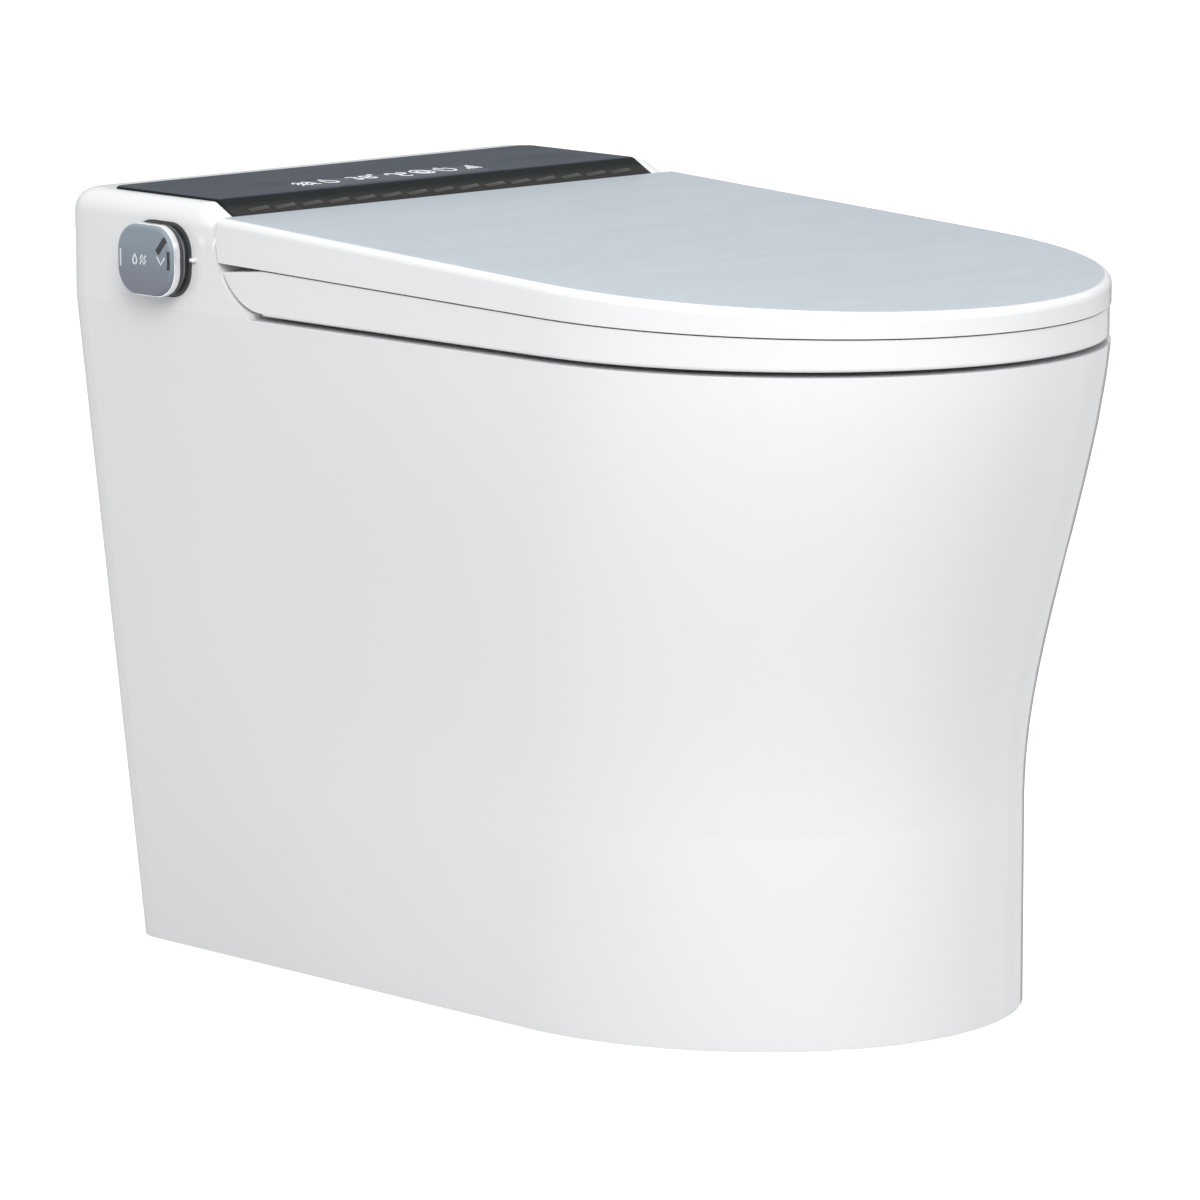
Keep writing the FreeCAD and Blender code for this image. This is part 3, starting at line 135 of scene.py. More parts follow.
def makeSurfaceGroup():  # slow drift of tone, fine moulding grain and faint handling marks
    smearStretch = {"Scale": (3.0, 9.0, 5.0), "Rotation": (0.3, 0.5, 0.2)}
    group, start, end = newGroup(
        "surfaceCharacter",
        [
            ("Vector", "NodeSocketVector", None),
            ("Drift Scale", "NodeSocketFloat", 6.0),
            ("Grain Scale", "NodeSocketFloat", 900.0),
            ("Grain Height", "NodeSocketFloat", 0.00001),
            ("Smooth", "NodeSocketFloat", 0.2),
            ("Rough", "NodeSocketFloat", 0.3),
        ],
        characterOutputs,
    )
    given = start.outputs
    drift = noise(group, given["Vector"], given["Drift Scale"], 3.0)
    grain = noise(group, given["Vector"], given["Grain Scale"], 2.0, 0.6)
    stretched = addNode(group, "ShaderNodeMapping", {"Vector": given["Vector"], **smearStretch})
    smear = remap(group, noise(group, stretched, 4.0, 5.0, 0.65), (0.42, 0.72))
    roughness = remap(group, smear, target=(given["Smooth"], given["Rough"]))
    feed(group, end.inputs["Tone"], remap(group, drift, (0.32, 0.68)))
    feed(group, end.inputs["Roughness"], roughness)
    feed(group, end.inputs["Normal"], bumpFrom(group, grain, 1.0, given["Grain Height"]))
    return group


def makeFadeGroup():  # how far a point has come between two places along one direction
    group, start, end = newGroup(
        "fadeAlong",
        [
            ("Vector", "NodeSocketVector", None),
            ("Direction", "NodeSocketVector", (0.0, 0.0, 1.0)),
            ("From", "NodeSocketFloat", 0.0),
            ("To", "NodeSocketFloat", 1.0),
        ],
        [("Mask", "NodeSocketFloat")],
    )
    given = start.outputs
    vectors = {0: given["Vector"], 1: given["Direction"]}
    along = addNode(group, "ShaderNodeVectorMath", vectors, operation="DOT_PRODUCT")
    ends = (given["From"], given["To"])
    span = remap(group, along.outputs["Value"], ends, interpolation_type="SMOOTHSTEP")
    feed(group, end.inputs["Mask"], span)
    return group


def makeBrushGroup():  # fine drawn lines in one direction, as on rolled or turned metal
    group, start, end = newGroup(
        "drawnLines",
        [
            ("Vector", "NodeSocketVector", None),
            ("Stretch", "NodeSocketVector", (1.0, 1.0, 40.0)),
            ("Scale", "NodeSocketFloat", 60.0),
            ("Smooth", "NodeSocketFloat", 0.2),
            ("Rough", "NodeSocketFloat", 0.4),
            ("Height", "NodeSocketFloat", 0.00002),
        ],
        characterOutputs,
    )
    given = start.outputs
    vectors = {0: given["Vector"], 1: given["Stretch"]}
    drawn = addNode(group, "ShaderNodeVectorMath", vectors, operation="MULTIPLY")
    lines = noise(group, drawn, given["Scale"], 4.0, 0.7)
    roughness = remap(group, lines, target=(given["Smooth"], given["Rough"]))
    feed(group, end.inputs["Tone"], lines)
    feed(group, end.inputs["Roughness"], roughness)
    feed(group, end.inputs["Normal"], bumpFrom(group, lines, 0.6, given["Height"]))
    return group


surfaceCharacter = makeSurfaceGroup()
fadeAlong = makeFadeGroup()
drawnLines = makeBrushGroup()


def fade(tree, place, ends, direction=(0.0, 0.0, 1.0)):
    inputs = {"Vector": place, "Direction": direction, "From": ends[0], "To": ends[1]}
    return useGroup(tree, fadeAlong, inputs).outputs["Mask"]


# finishes

def plasticFinish(name, settings):
    material, tree, shader, place = newMaterial(name)
    character = useGroup(tree, surfaceCharacter, {
        "Vector": place.outputs["Object"],
        "Drift Scale": settings.get("driftScale", 6.0),
        "Grain Scale": settings.get("grainScale", 900.0),
        "Grain Height": settings.get("grainHeight", 0.00001),
        "Smooth": settings["roughness"][0],
        "Rough": settings["roughness"][1],
    })
    colour = mixColours(tree, character.outputs["Tone"], settings["colour"], settings["drift"])
    feed(tree, shader.inputs["Base Color"], colour)
    feed(tree, shader.inputs["Roughness"], character.outputs["Roughness"])
    feed(tree, shader.inputs["Normal"], character.outputs["Normal"])
    shader.inputs["Specular IOR Level"].default_value = settings.get("specular", 0.5)
    shader.inputs["Transmission Weight"].default_value = settings.get("transmission", 0.0)
    return material, tree, shader, place, colour


def plainPlastic(name, settings):
    return plasticFinish(name, settings)[0]


def metalFinish(name, settings):
    material, tree, shader, place = newMaterial(name)
    lines = useGroup(tree, drawnLines, {
        "Vector": place.outputs["Object"],
        "Stretch": settings["stretch"],
        "Scale": settings.get("scale", 60.0),
        "Smooth": settings["roughness"][0],
        "Rough": settings["roughness"][1],
        "Height": settings.get("height", 0.00002),
    })
    colour = mixColours(tree, lines.outputs["Tone"], settings["colour"], settings["drift"])
    feed(tree, shader.inputs["Base Color"], colour)
    feed(tree, shader.inputs["Roughness"], lines.outputs["Roughness"])
    feed(tree, shader.inputs["Normal"], lines.outputs["Normal"])
    shader.inputs["Metallic"].default_value = 1.0
    return material


def shadeOutline(tree, shader, colour, settings):  # painted shade: colour made darker and duller where the surface turns away from the camera
    start, dullest = 0.62, 0.7
    view = addNode(tree, "ShaderNodeLayerWeight", {"Blend": 0.5})
    edge = remap(tree, view.outputs["Facing"], (start, 1.0))
    dim = mixColours(tree, 1.0, colour, settings["outline"], "MULTIPLY")
    shine = remap(tree, edge, (0.0, dullest), (settings["specular"], 0.0))
    feed(tree, shader.inputs["Base Color"], mixColours(tree, edge, colour, dim))
    feed(tree, shader.inputs["Specular IOR Level"], shine)


print("mixing the glaze")
glaze = {
    "colour": (0.87, 0.873, 0.882),
    "drift": (0.84, 0.845, 0.862),
    "roughness": (0.06, 0.13),
    "driftScale": 2.2,
    "grainScale": 55.0,
    "grainHeight": 0.00006,
    "specular": 0.45,
    # painted shade at the glaze's outline
    "outline": (0.62, 0.64, 0.66),
    "raw": (0.7, 0.68, 0.64),
}


def glazeFinish():  # glazed all round, raw and chalky on the hidden underside where the glaze stops
    material, tree, shader, place, colour = plasticFinish("whiteGlaze", glaze)
    below = fade(tree, place.outputs["Normal"], (0.9, 0.99), (0.0, 0.0, -1.0))
    shadeOutline(tree, shader, mixColours(tree, below, colour, glaze["raw"]), glaze)
    return material


print("mixing the plastics")
whitePlastic = {
    "colour": (0.87, 0.874, 0.885),
    "drift": (0.85, 0.855, 0.868),
    "roughness": (0.16, 0.26),
    "grainScale": 420.0,
    "grainHeight": 0.000006,
    "specular": 0.4,
    # painted shade at the plastic's outline
    "outline": (0.72, 0.74, 0.75),
}


def shellFinish():
    material, tree, shader, place, colour = plasticFinish("whitePlastic", whitePlastic)
    shadeOutline(tree, shader, colour, whitePlastic)
    return material


lidPlastic = {
    "colour": (0.88, 0.884, 0.89),
    "drift": (0.86, 0.864, 0.874),
    # flat top colour: partly a pale blue-grey tint, partly painted shade of the upward face
    "top": (0.555, 0.612, 0.67),
    "topDrift": (0.545, 0.603, 0.662),
    "topNormal": (0.0, -0.045, 0.999),
    "topEdge": (0.965, 0.995),
    "roughness": (0.3, 0.4),
    "grainScale": 500.0,
    "grainHeight": 0.000005,
    "specular": 0.3,
    # painted shade at the lid's outline
    "outline": (0.72, 0.73, 0.74),
}


def lidFinish():  # pale blue-grey on the flat top, partly a tinted panel and partly painted shade of the upward face; white on the rounded rim and below
    material, tree, shader, place, colour = plasticFinish("lidPlastic", lidPlastic)
    facing = fade(tree, place.outputs["Normal"], lidPlastic["topEdge"], lidPlastic["topNormal"])
    cloud = noise(tree, place.outputs["Object"], 3.5)
    topTintAndShade = mixColours(tree, cloud, lidPlastic["top"], lidPlastic["topDrift"])
    shadeOutline(tree, shader, mixColours(tree, facing, colour, topTintAndShade), lidPlastic)
    return material


coverPlastic = {
    "colour": (0.0265, 0.0375, 0.055),
    "drift": (0.0255, 0.036, 0.053),
    "roughness": (0.48, 0.52),
    "grainScale": 700.0,
    "grainHeight": 0.000006,
    "specular": 0.05,
    # painted shade over the bend
    "bend": (0.009, 0.0125, 0.0135),
    "bendFacing": (0.99, 0.9),
    # painted reflection of the lid, low on the sloping front
    "front": (0.03, 0.03, 0.029),
    "frontHeight": (0.4785, 0.4745),
}


def coverFinish():  # slate on top; near black over the bend, painted shade where the reflection falls away; paler low on the sloping front, a painted reflection of the lid
    material, tree, shader, place, colour = plasticFinish("slateCover", coverPlastic)
    bend = fade(tree, place.outputs["Normal"], coverPlastic["bendFacing"])
    low = fade(tree, place.outputs["Object"], coverPlastic["frontHeight"])
    front = mixColours(tree, low, coverPlastic["bend"], coverPlastic["front"])
    feed(tree, shader.inputs["Base Color"], mixColours(tree, bend, colour, front))
    return material


knobPlastic = {
    "colour": (0.27, 0.33, 0.38),
    "drift": (0.26, 0.32, 0.37),
    # painted shade towards the bottom of the face
    "low": (0.2, 0.215, 0.265),
    "roughness": (0.34, 0.4),
    "grainScale": 1500.0,
    "grainHeight": 0.000003,
    "specular": 0.3,
}


def knobFinish():  # grey blue, a little darker towards the bottom of the face: painted shade
    material, tree, shader, place, colour = plasticFinish("knobFace", knobPlastic)
    low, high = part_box("knob_cap")
    down = fade(tree, place.outputs["Object"], (high.z, low.z))
    feed(tree, shader.inputs["Base Color"], mixColours(tree, down, colour, knobPlastic["low"]))
    return material


circuitBoard = {
    "colour": (0.012, 0.12, 0.05),
    "drift": (0.01, 0.09, 0.04),
    "roughness": (0.25, 0.4),
    "track": (0.03, 0.24, 0.1),
    "trackScale": (160.0, 160.0, 160.0),
    "trackWidth": 0.06,
    "pad": (0.6, 0.56, 0.42),
    "padScale": 190.0,
    "padEdge": (0.2, 0.12),
}


def boardFinish():  # green lacquer with copper tracks under it and bright solder pads
    material, tree, shader, place, colour = plasticFinish("circuitBoard", circuitBoard)
    scaled = {"Vector": place.outputs["Object"], "Scale": circuitBoard["trackScale"]}
    tracks = addNode(tree, "ShaderNodeTexBrick", {
        "Vector": addNode(tree, "ShaderNodeMapping", scaled),
        "Scale": 1.0,
        "Mortar Size": circuitBoard["trackWidth"],
        "Color1": (0.0, 0.0, 0.0),
        "Color2": (0.0, 0.0, 0.0),
        "Mortar": (1.0, 1.0, 1.0),
    })
    spots = {"Vector": place.outputs["Object"], "Scale": circuitBoard["padScale"]}
    pads = addNode(tree, "ShaderNodeTexVoronoi", spots, feature="F1")
    padMask = remap(tree, pads.outputs["Distance"], circuitBoard["padEdge"])
    tracked = mixColours(tree, tracks.outputs["Color"], colour, circuitBoard["track"])
    finished = mixColours(tree, padMask, tracked, circuitBoard["pad"])
    feed(tree, shader.inputs["Base Color"], finished)
    return material


heatingFoil = {
    "colour": (0.72, 0.7, 0.66),
    "wire": (0.5, 0.33, 0.2),
    "wireScale": 26.0,
    "wireWander": 1.5,
    "wireEdge": (0.85, 0.97),
    "creaseScale": 140.0,
    "creaseStrength": 0.5,
    "creaseHeight": 0.0004,
    "metallic": 0.9,
    "roughness": 0.35,
}


def foilFinish():  # crinkled foil with the meander of the heating wire under it
    material, tree, shader, place = newMaterial("heatingFoil")
    spots = {"Vector": place.outputs["Object"], "Scale": heatingFoil["creaseScale"]}
    creases = addNode(tree, "ShaderNodeTexVoronoi", spots, feature="DISTANCE_TO_EDGE")
    wire = addNode(tree, "ShaderNodeTexWave", {
        "Vector": place.outputs["Object"],
        "Scale": heatingFoil["wireScale"],
        "Distortion": heatingFoil["wireWander"],
        "Detail": 0.0,
    }, bands_direction="Y")
    wireMask = remap(tree, wire.outputs["Fac"], heatingFoil["wireEdge"])
    colour = mixColours(tree, wireMask, heatingFoil["colour"], heatingFoil["wire"])
    crinkle = (heatingFoil["creaseStrength"], heatingFoil["creaseHeight"])
    feed(tree, shader.inputs["Base Color"], colour)
    feed(tree, shader.inputs["Normal"], bumpFrom(tree, creases.outputs["Distance"], *crinkle))
    shader.inputs["Metallic"].default_value = heatingFoil["metallic"]
    shader.inputs["Roughness"].default_value = heatingFoil["roughness"]
    return material


carbonBlock = {
    "wall": (0.06, 0.06, 0.062),
    "hollow": (0.012, 0.012, 0.013),
    "cellScale": 420.0,
    "cellEdge": (0.05, 0.16),
    "depth": (0.8, 0.0008),
    "roughness": 0.8,
}


def carbonFinish():  # cells of an activated carbon block, with painted shade in the hollows of the cells
    material, tree, shader, place = newMaterial("carbonCells")
    spots = {"Vector": place.outputs["Object"], "Scale": carbonBlock["cellScale"]}
    cells = addNode(tree, "ShaderNodeTexVoronoi", spots, feature="DISTANCE_TO_EDGE")
    inside = remap(tree, cells.outputs["Distance"], carbonBlock["cellEdge"])
    colour = mixColours(tree, inside, carbonBlock["wall"], carbonBlock["hollow"])
    feed(tree, shader.inputs["Base Color"], colour)
    feed(tree, shader.inputs["Normal"], bumpFrom(tree, inside, *carbonBlock["depth"], invert=True))
    shader.inputs["Roughness"].default_value = carbonBlock["roughness"]
    return material


def glowFinish(name, settings):  # lit strokes of the display; on printed marks the glow is painted light
    material, tree, shader, place = newMaterial(name)
    flicker = noise(tree, place.outputs["Object"], 900.0, 1.0)
    dimmer = tuple(channel * 0.85 for channel in settings["colour"])
    lit = mixColours(tree, flicker, settings["colour"], dimmer)
    feed(tree, shader.inputs["Base Color"], lit)
    feed(tree, shader.inputs["Emission Color"], lit)
    shader.inputs["Emission Strength"].default_value = settings["glow"]
    shader.inputs["Roughness"].default_value = 0.5
    return material


plastics = {
    "window": ("displayWindow", {
        "colour": (0.0255, 0.0362, 0.053),
        "drift": (0.0245, 0.035, 0.051),
        "roughness": (0.42, 0.46),
        "grainHeight": 0.000001,
        "specular": 0.07,
    }),
    "knob_ring": ("darkRing", {
        "colour": (0.05, 0.052, 0.056),
        "drift": (0.04, 0.042, 0.046),
        "roughness": (0.45, 0.6),
    }),
    "nylon": ("naturalNylon", {
        "colour": (0.66, 0.66, 0.63),
        "drift": (0.6, 0.6, 0.57),
        "roughness": (0.4, 0.55),
        "grainHeight": 0.00002,
    }),
    "wand_plastic": ("wandPlastic", {
        "colour": (0.8, 0.8, 0.79),
        "drift": (0.76, 0.765, 0.76),
        "roughness": (0.18, 0.3),
    }),
    "grey_plastic": ("greyPlastic", {
        "colour": (0.06, 0.062, 0.066),
        "drift": (0.05, 0.052, 0.055),
        "roughness": (0.4, 0.55),
        "grainHeight": 0.00003,
    }),
    "tank": ("milkyTank", {
        "colour": (0.72, 0.74, 0.76),
        "drift": (0.68, 0.7, 0.73),
        "roughness": (0.35, 0.5),
        "transmission": 0.25,
    }),
    "seal": ("blackRubber", {
        "colour": (0.02, 0.02, 0.021),
        "drift": (0.028, 0.028, 0.029),
        "roughness": (0.7, 0.85),
        "grainHeight": 0.00004,
    }),
    "bumper": ("paleRubber", {
        "colour": (0.52, 0.52, 0.53),
        "drift": (0.47, 0.47, 0.48),
        "roughness": (0.6, 0.75),
        "grainHeight": 0.00003,
    }),
}
metals = {
    "steel": ("drawnSteel", {
        "colour": (0.58, 0.58, 0.59),
        "drift": (0.44, 0.44, 0.45),
        "roughness": (0.18, 0.36),
        "stretch": (6.0, 1.0, 6.0),
    }),
    "heater_metal": ("castAluminium", {
        "colour": (0.62, 0.62, 0.63),
        "drift": (0.5, 0.5, 0.51),
        "roughness": (0.4, 0.6),
        "stretch": (1.0, 1.0, 1.0),
        "scale": 700.0,
        "height": 0.0001,
    }),
    "brass": ("turnedBrass", {
        "colour": (0.68, 0.52, 0.25),
        "drift": (0.55, 0.41, 0.19),
        "roughness": (0.2, 0.38),
        "stretch": (1.0, 12.0, 1.0),
    }),
}
finishes = {
    "ceramic": glazeFinish(),
    "white_plastic": shellFinish(),
    "lid_plastic": lidFinish(),
    "dark_cover": coverFinish(),
    "knob_face": knobFinish(),
    "heating_foil": foilFinish(),
    "board": boardFinish(),
    "carbon": carbonFinish(),
}
finishes.update({slotName: plainPlastic(*entry) for slotName, entry in plastics.items()})
finishes.update({slotName: metalFinish(*entry) for slotName, entry in metals.items()})
for row in frame["record"]["subparts"]:
    piece = nodes[row["node"]]
    piece.data.materials.clear()
    piece.data.materials.append(finishes[row["material_slot"]])


# new pieces

def addPiece(name, form, body, finish, smoothAngle=35.0):
    bmesh.ops.recalc_face_normals(form, faces=form.faces)
    mesh = bpy.data.meshes.new(name)
    form.to_mesh(mesh)
    form.free()
    mesh.shade_smooth()
    mesh.set_sharp_from_angle(angle=math.radians(smoothAngle))
    mesh.materials.append(finish)
    piece = bpy.data.objects.new(name, mesh)
    bpy.context.scene.collection.objects.link(piece)
    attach(piece, body)


def softenEdges(form, edges, width):
    return bmesh.ops.bevel(
        form,
        geom=edges,
        offset=width,
        offset_type="OFFSET",
        segments=2,
        profile=0.5,
        affect="EDGES",
        material=-1,
    )


def addBar(form, size, turn, centre):  # one small bar with softened edges
    softness = 0.35  # of its least size
    made = bmesh.ops.create_cube(form, size=1.0)
    bmesh.ops.scale(form, vec=size, verts=made["verts"])
    edges = list({edge for corner in made["verts"] for edge in corner.link_edges})
    soft = softenEdges(form, edges, min(size) * softness)
    corners = {corner for face in soft["faces"] for corner in face.verts}
    corners |= {corner for corner in made["verts"] if corner.is_valid}
    placing = Matrix.Translation(centre) @ turn.to_4x4()
    bmesh.ops.transform(form, matrix=placing, verts=list(corners))


print("cutting the vent louvres of the cover")
coverFront = {
    "bend": (0.137, 0.481),  # y and z of the bend of the cover's profile
    "slope": 27.7,
    "round": 0.006,
}
louvres = {
    "count": 15,
    "reach": 0.154,  # from the middle to the last louvre
    "size": (0.0175, 0.0036, 0.0006),
    "slant": 7.0,  # degrees from the hinge line
    "down": 0.0145,  # from the bend along the sloping front
    "finish": {
        "colour": (0.062, 0.063, 0.06),
        "drift": (0.05, 0.05, 0.048),
        "roughness": (0.4, 0.5),
        "specular": 0.1,
    },
}


def onCover(along):  # y and z on the cover's profile, behind its rounded bend (below 0) and ahead
    slope, radius = math.radians(coverFront["slope"]), coverFront["round"]
    tangent = radius * math.tan(slope / 2)
    y, z = coverFront["bend"]
    if along <= -tangent:
        return y - along, z
    if along >= tangent:
        return y - along * math.cos(slope), z - along * math.sin(slope)
    turn = slope * (along + tangent) / (2 * tangent)
    return y + tangent - radius * math.sin(turn), z - radius * (1 - math.cos(turn))


ribFinish = plainPlastic("louvreEdge", louvres["finish"])
form = bmesh.new()
tilt = Matrix.Rotation(math.radians(coverFront["slope"]), 3, "X")
lean = tilt @ Matrix.Rotation(math.radians(louvres["slant"]), 3, "Z")
for index in range(louvres["count"]):
    x = louvres["reach"] * (2 * index / (louvres["count"] - 1) - 1)
    addBar(form, Vector(louvres["size"]), lean, Vector((x, *onCover(louvres["down"]))))
addPiece("cover_louvres", form, "pan", ribFinish)

print("raising the white shoulder round the cover")
shoulder = {
    "side": 0.19502,  # half the housing's width
    "rear": 0.27002,
    "corner": 0.025,
    "foot": 0.465,  # where the curve leaves the upright side
    "skirt": 0.011,
    "radius": 0.0145,
    "coverSide": 0.1782,
    "coverRear": 0.2402,
    "coverCorner": 0.0102,
    "front": 0.1205,
    "frontStep": 0.002,  # close stations over the bend, then a few along the straight side
    "frontCount": 12,
    "farther": (0.15, 0.18, 0.21),
    "lip": 0.0015,  # how far the dark cover stands above it
    "steps": 10,
}


def quarterTurn():  # the angles of a quarter of a circle
    return [math.radians(90 * step / shoulder["steps"]) for step in range(shoulder["steps"] + 1)]


def shoulderPath():  # outer point, outward direction and inner point, round the rear to the right
    side, rear, corner = shoulder["side"], shoulder["rear"], shoulder["corner"]
    inSide, inRear, inCorner = (shoulder[key] for key in ("coverSide", "coverRear", "coverCorner"))
    close = [shoulder["front"] + shoulder["frontStep"] * i for i in range(shoulder["frontCount"])]
    path = []
    for y in (*close, *shoulder["farther"]):
        path.append(((side, y), (1.0, 0.0), (inSide, min(y, inRear - inCorner))))
    for angle in quarterTurn():
        out = (math.cos(angle), math.sin(angle))
        outer = (side - corner + corner * out[0], rear - corner + corner * out[1])
        inner = (inSide - inCorner * (1 - out[0]), inRear - inCorner * (1 - out[1]))
        path.append((outer, out, inner))
    mirrored = [((-x, y), (-nx, ny), (-ix, iy)) for (x, y), (nx, ny), (ix, iy) in reversed(path)]
    return path + mirrored


def shoulderLevel(y):  # height of the white band's top beside one place of the cover
    ahead = coverFront["bend"][0] - y
    if ahead > 0:
        ahead /= math.cos(math.radians(coverFront["slope"]))
    return onCover(ahead)[1] - shoulder["lip"]


form = bmesh.new()
rows = []
for (x, y), (nx, ny), inner in shoulderPath():
    foot, level = shoulder["foot"], shoulderLevel(y)
    bottom = foot - shoulder["skirt"]
    row = [form.verts.new((x, y, bottom))]
    for angle in quarterTurn():
        inward = shoulder["radius"] * (1 - math.cos(angle))
        height = foot + (level - foot) * math.sin(angle)
        row.append(form.verts.new((x - nx * inward, y - ny * inward, height)))
    row.append(form.verts.new((*inner, level)))
    row.append(form.verts.new((*inner, bottom)))
    rows.append(row)
for first, second in zip(rows, rows[1:]):
    for j in range(len(first)):
        k = (j + 1) % len(first)
        form.faces.new((first[j], first[k], second[k], second[j]))
form.faces.new(rows[0])
form.faces.new(list(reversed(rows[-1])))
addPiece("housing_shoulder", form, "pan", finishes["white_plastic"], 50.0)

print("scribing the ends of the display panel")
seam = {
    "places": (-0.0915, 0.0615),
    "width": 0.0006,
    "steps": 16,
    "along": (-0.006, 0.009),
    "lift": 0.00012,
    "finish": {
        "colour": (0.008, 0.008, 0.009),
        "drift": (0.012, 0.012, 0.013),
        "roughness": (0.6, 0.7),
        "specular": 0.1,
    },
}
form = bmesh.new()
low, high = seam["along"]
path = [onCover(low + (high - low) * i / seam["steps"]) for i in range(seam["steps"] + 1)]
for middle in seam["places"]:
    left, right = (
        [form.verts.new((x, y, z + seam["lift"])) for y, z in path]
        for x in (middle - seam["width"] / 2, middle + seam["width"] / 2)
    )
    for i in range(seam["steps"]):
        form.faces.new((left[i], right[i], right[i + 1], left[i + 1]))
addPiece("display_seams", form, "pan", plainPlastic("seamShadow", seam["finish"]))

print("fitting the knob's rim and marks")
knob = {
    "centre": (0.168, 0.443),
    "half": (0.026, 0.022),
    "corner": 0.017,
    "face": -0.211,
    "rim": (-0.2082, -0.2034),  # from front to back along x
    "rimThickness": 0.0012,
    # painted shadow: dark band on the knob's side behind the rim, where the gap's shadow falls
    "skirt": (-0.2034, -0.2002),
    "skirtThickness": 0.002,
    # painted shadow: a dark ring on the housing round the knob where the gap's shadow falls
    "gapShadow": (-0.1962, -0.1949),
    "gapShadowThickness": 0.005,
    "gapShadowProud": 0.0014,
    "proud": 0.0004,
    "softness": 0.25,  # of a band's thickness
    "sharp": 1.2,  # radians between the faces of an edge that is softened
    "steps": 12,
    "rimFinish": {
        "colour": (0.93, 0.93, 0.94),
        "drift": (0.86, 0.86, 0.88),
        "roughness": (0.16, 0.26),
        "stretch": (30.0, 1.0, 1.0),
        "height": 0.000005,
    },
}


def knobOutline(out):  # y and z round the knob's side, a little outside it
    half, corner = [size + out for size in knob["half"]], knob["corner"] + out
    points = []
    for turn, (y, z) in enumerate(((1, 1), (-1, 1), (-1, -1), (1, -1))):
        for step in range(knob["steps"] + 1):
            angle = math.radians(90 * (turn + step / knob["steps"]))
            points.append((
                knob["centre"][0] + y * (half[0] - corner) + corner * math.cos(angle),
                knob["centre"][1] + z * (half[1] - corner) + corner * math.sin(angle),
            ))
    return points


def roundedBand(front, back, out, thick):  # a closed band round the side of the knob
    form = bmesh.new()
    rings = []
    for x, wide in ((front, out), (back, out), (back, out - thick), (front, out - thick)):
        rings.append([form.verts.new((x, y, z)) for y, z in knobOutline(wide)])
    for i, ring in enumerate(rings):
        following = rings[(i + 1) % len(rings)]
        for j in range(len(ring)):
            k = (j + 1) % len(ring)
            form.faces.new((ring[j], ring[k], following[k], following[j]))
    bmesh.ops.recalc_face_normals(form, faces=form.faces[:])
    rim = [edge for edge in form.edges if edge.calc_face_angle() > knob["sharp"]]
    softenEdges(form, rim, thick * knob["softness"])
    return form


chrome = metalFinish("brightRim", knob["rimFinish"])
dark = finishes["knob_ring"]
rimBand = roundedBand(*knob["rim"], knob["proud"], knob["rimThickness"])
skirtShadowBand = roundedBand(*knob["skirt"], knob["proud"] * 0.5, knob["skirtThickness"])
gapShadowBand = roundedBand(*knob["gapShadow"], knob["gapShadowProud"], knob["gapShadowThickness"])
addPiece("knob_rim", rimBand, "knob_pushing", chrome)
# dark band painted as the shadow of the gap behind the rim
addPiece("knob_skirt_shadow", skirtShadowBand, "knob_pushing", dark)
# dark ring painted as the gap's shadow on the housing
addPiece("knob_gap_shadow", gapShadowBand, "pan", dark)


def addStroke(curve, points, closed=False):
    line = curve.splines.new("POLY")
    line.points.add(len(points) - 1)
    for point, place in zip(line.points, points):
        point.co = (place[0], place[1], 0.0, 1.0)
    line.use_cyclic_u = closed


def ring(centre, radius, start=0.0, sweep=360.0, steps=20):
    count = steps if sweep == 360.0 else steps + 1
    angles = [math.radians(start + sweep * i / steps) for i in range(count)]
    return [
        (centre[0] + radius * math.cos(angle), centre[1] + radius * math.sin(angle))
        for angle in angles
    ]


def formFrom(curve):  # a curve or a text made into a loose mesh, lying flat at the origin
    helper = bpy.data.objects.new("helper", curve)
    bpy.context.scene.collection.objects.link(helper)
    bpy.context.view_layer.update()
    finished = helper.evaluated_get(bpy.context.evaluated_depsgraph_get())
    mesh = bpy.data.meshes.new_from_object(finished)
    form = bmesh.new()
    form.from_mesh(mesh)
    bpy.data.objects.remove(helper)
    bpy.data.curves.remove(curve)
    bpy.data.meshes.remove(mesh)
    return form


def strokesForm(strokes, thickness):  # drawn lines as one form
    curve = bpy.data.curves.new("strokes", "CURVE")
    curve.dimensions = "3D"
    curve.bevel_depth = thickness / 2
    curve.bevel_resolution = 1
    curve.use_fill_caps = True
    for points, closed in strokes:
        addStroke(curve, points, closed)
    form = formFrom(curve)
    bmesh.ops.remove_doubles(form, verts=form.verts[:], dist=0.000005)
    return form


# faces -x: the sketch's x runs towards the front of the object, its y up
knobPlane = Matrix((
    (0.0, 0.0, -1.0, knob["face"]),
    (-1.0, 0.0, 0.0, knob["centre"][0]),
    (0.0, 1.0, 0.0, knob["centre"][1]),
    (0.0, 0.0, 0.0, 1.0),
))
dropHalf = [(0.0009, 0.0009), (0.0014, -0.0004), (0.0011, -0.0015)]
dropIcon = [(0.0, 0.0024), *dropHalf, (0.0, -0.002), *((-x, y) for x, y in reversed(dropHalf))]
knobDrop = {"size": 1.4, "shift": -0.0084}
paleMarks = [
    ([(-0.0222, -0.0052), (-0.0222, 0.0056)], False),  # index at the rear edge of the face
    ([(knobDrop["size"] * x + knobDrop["shift"], knobDrop["size"] * y) for x, y in dropIcon], True),
    ([(-0.0034, -0.0026), (-0.0018, 0.0002), (0.0004, -0.0026), (0.0022, 0.0002)], False),
    ([(-0.0034, 0.0004), (-0.0018, 0.0032), (0.0004, 0.0004), (0.0022, 0.0032)], False),
    ([(0.0129, 0.0032), (0.0166, -0.0014), (0.0203, 0.0032)], False),
]
pointer = [([(0.0214, 0.0146), (0.0192, 0.0128), (0.0132, 0.0058)], False)]
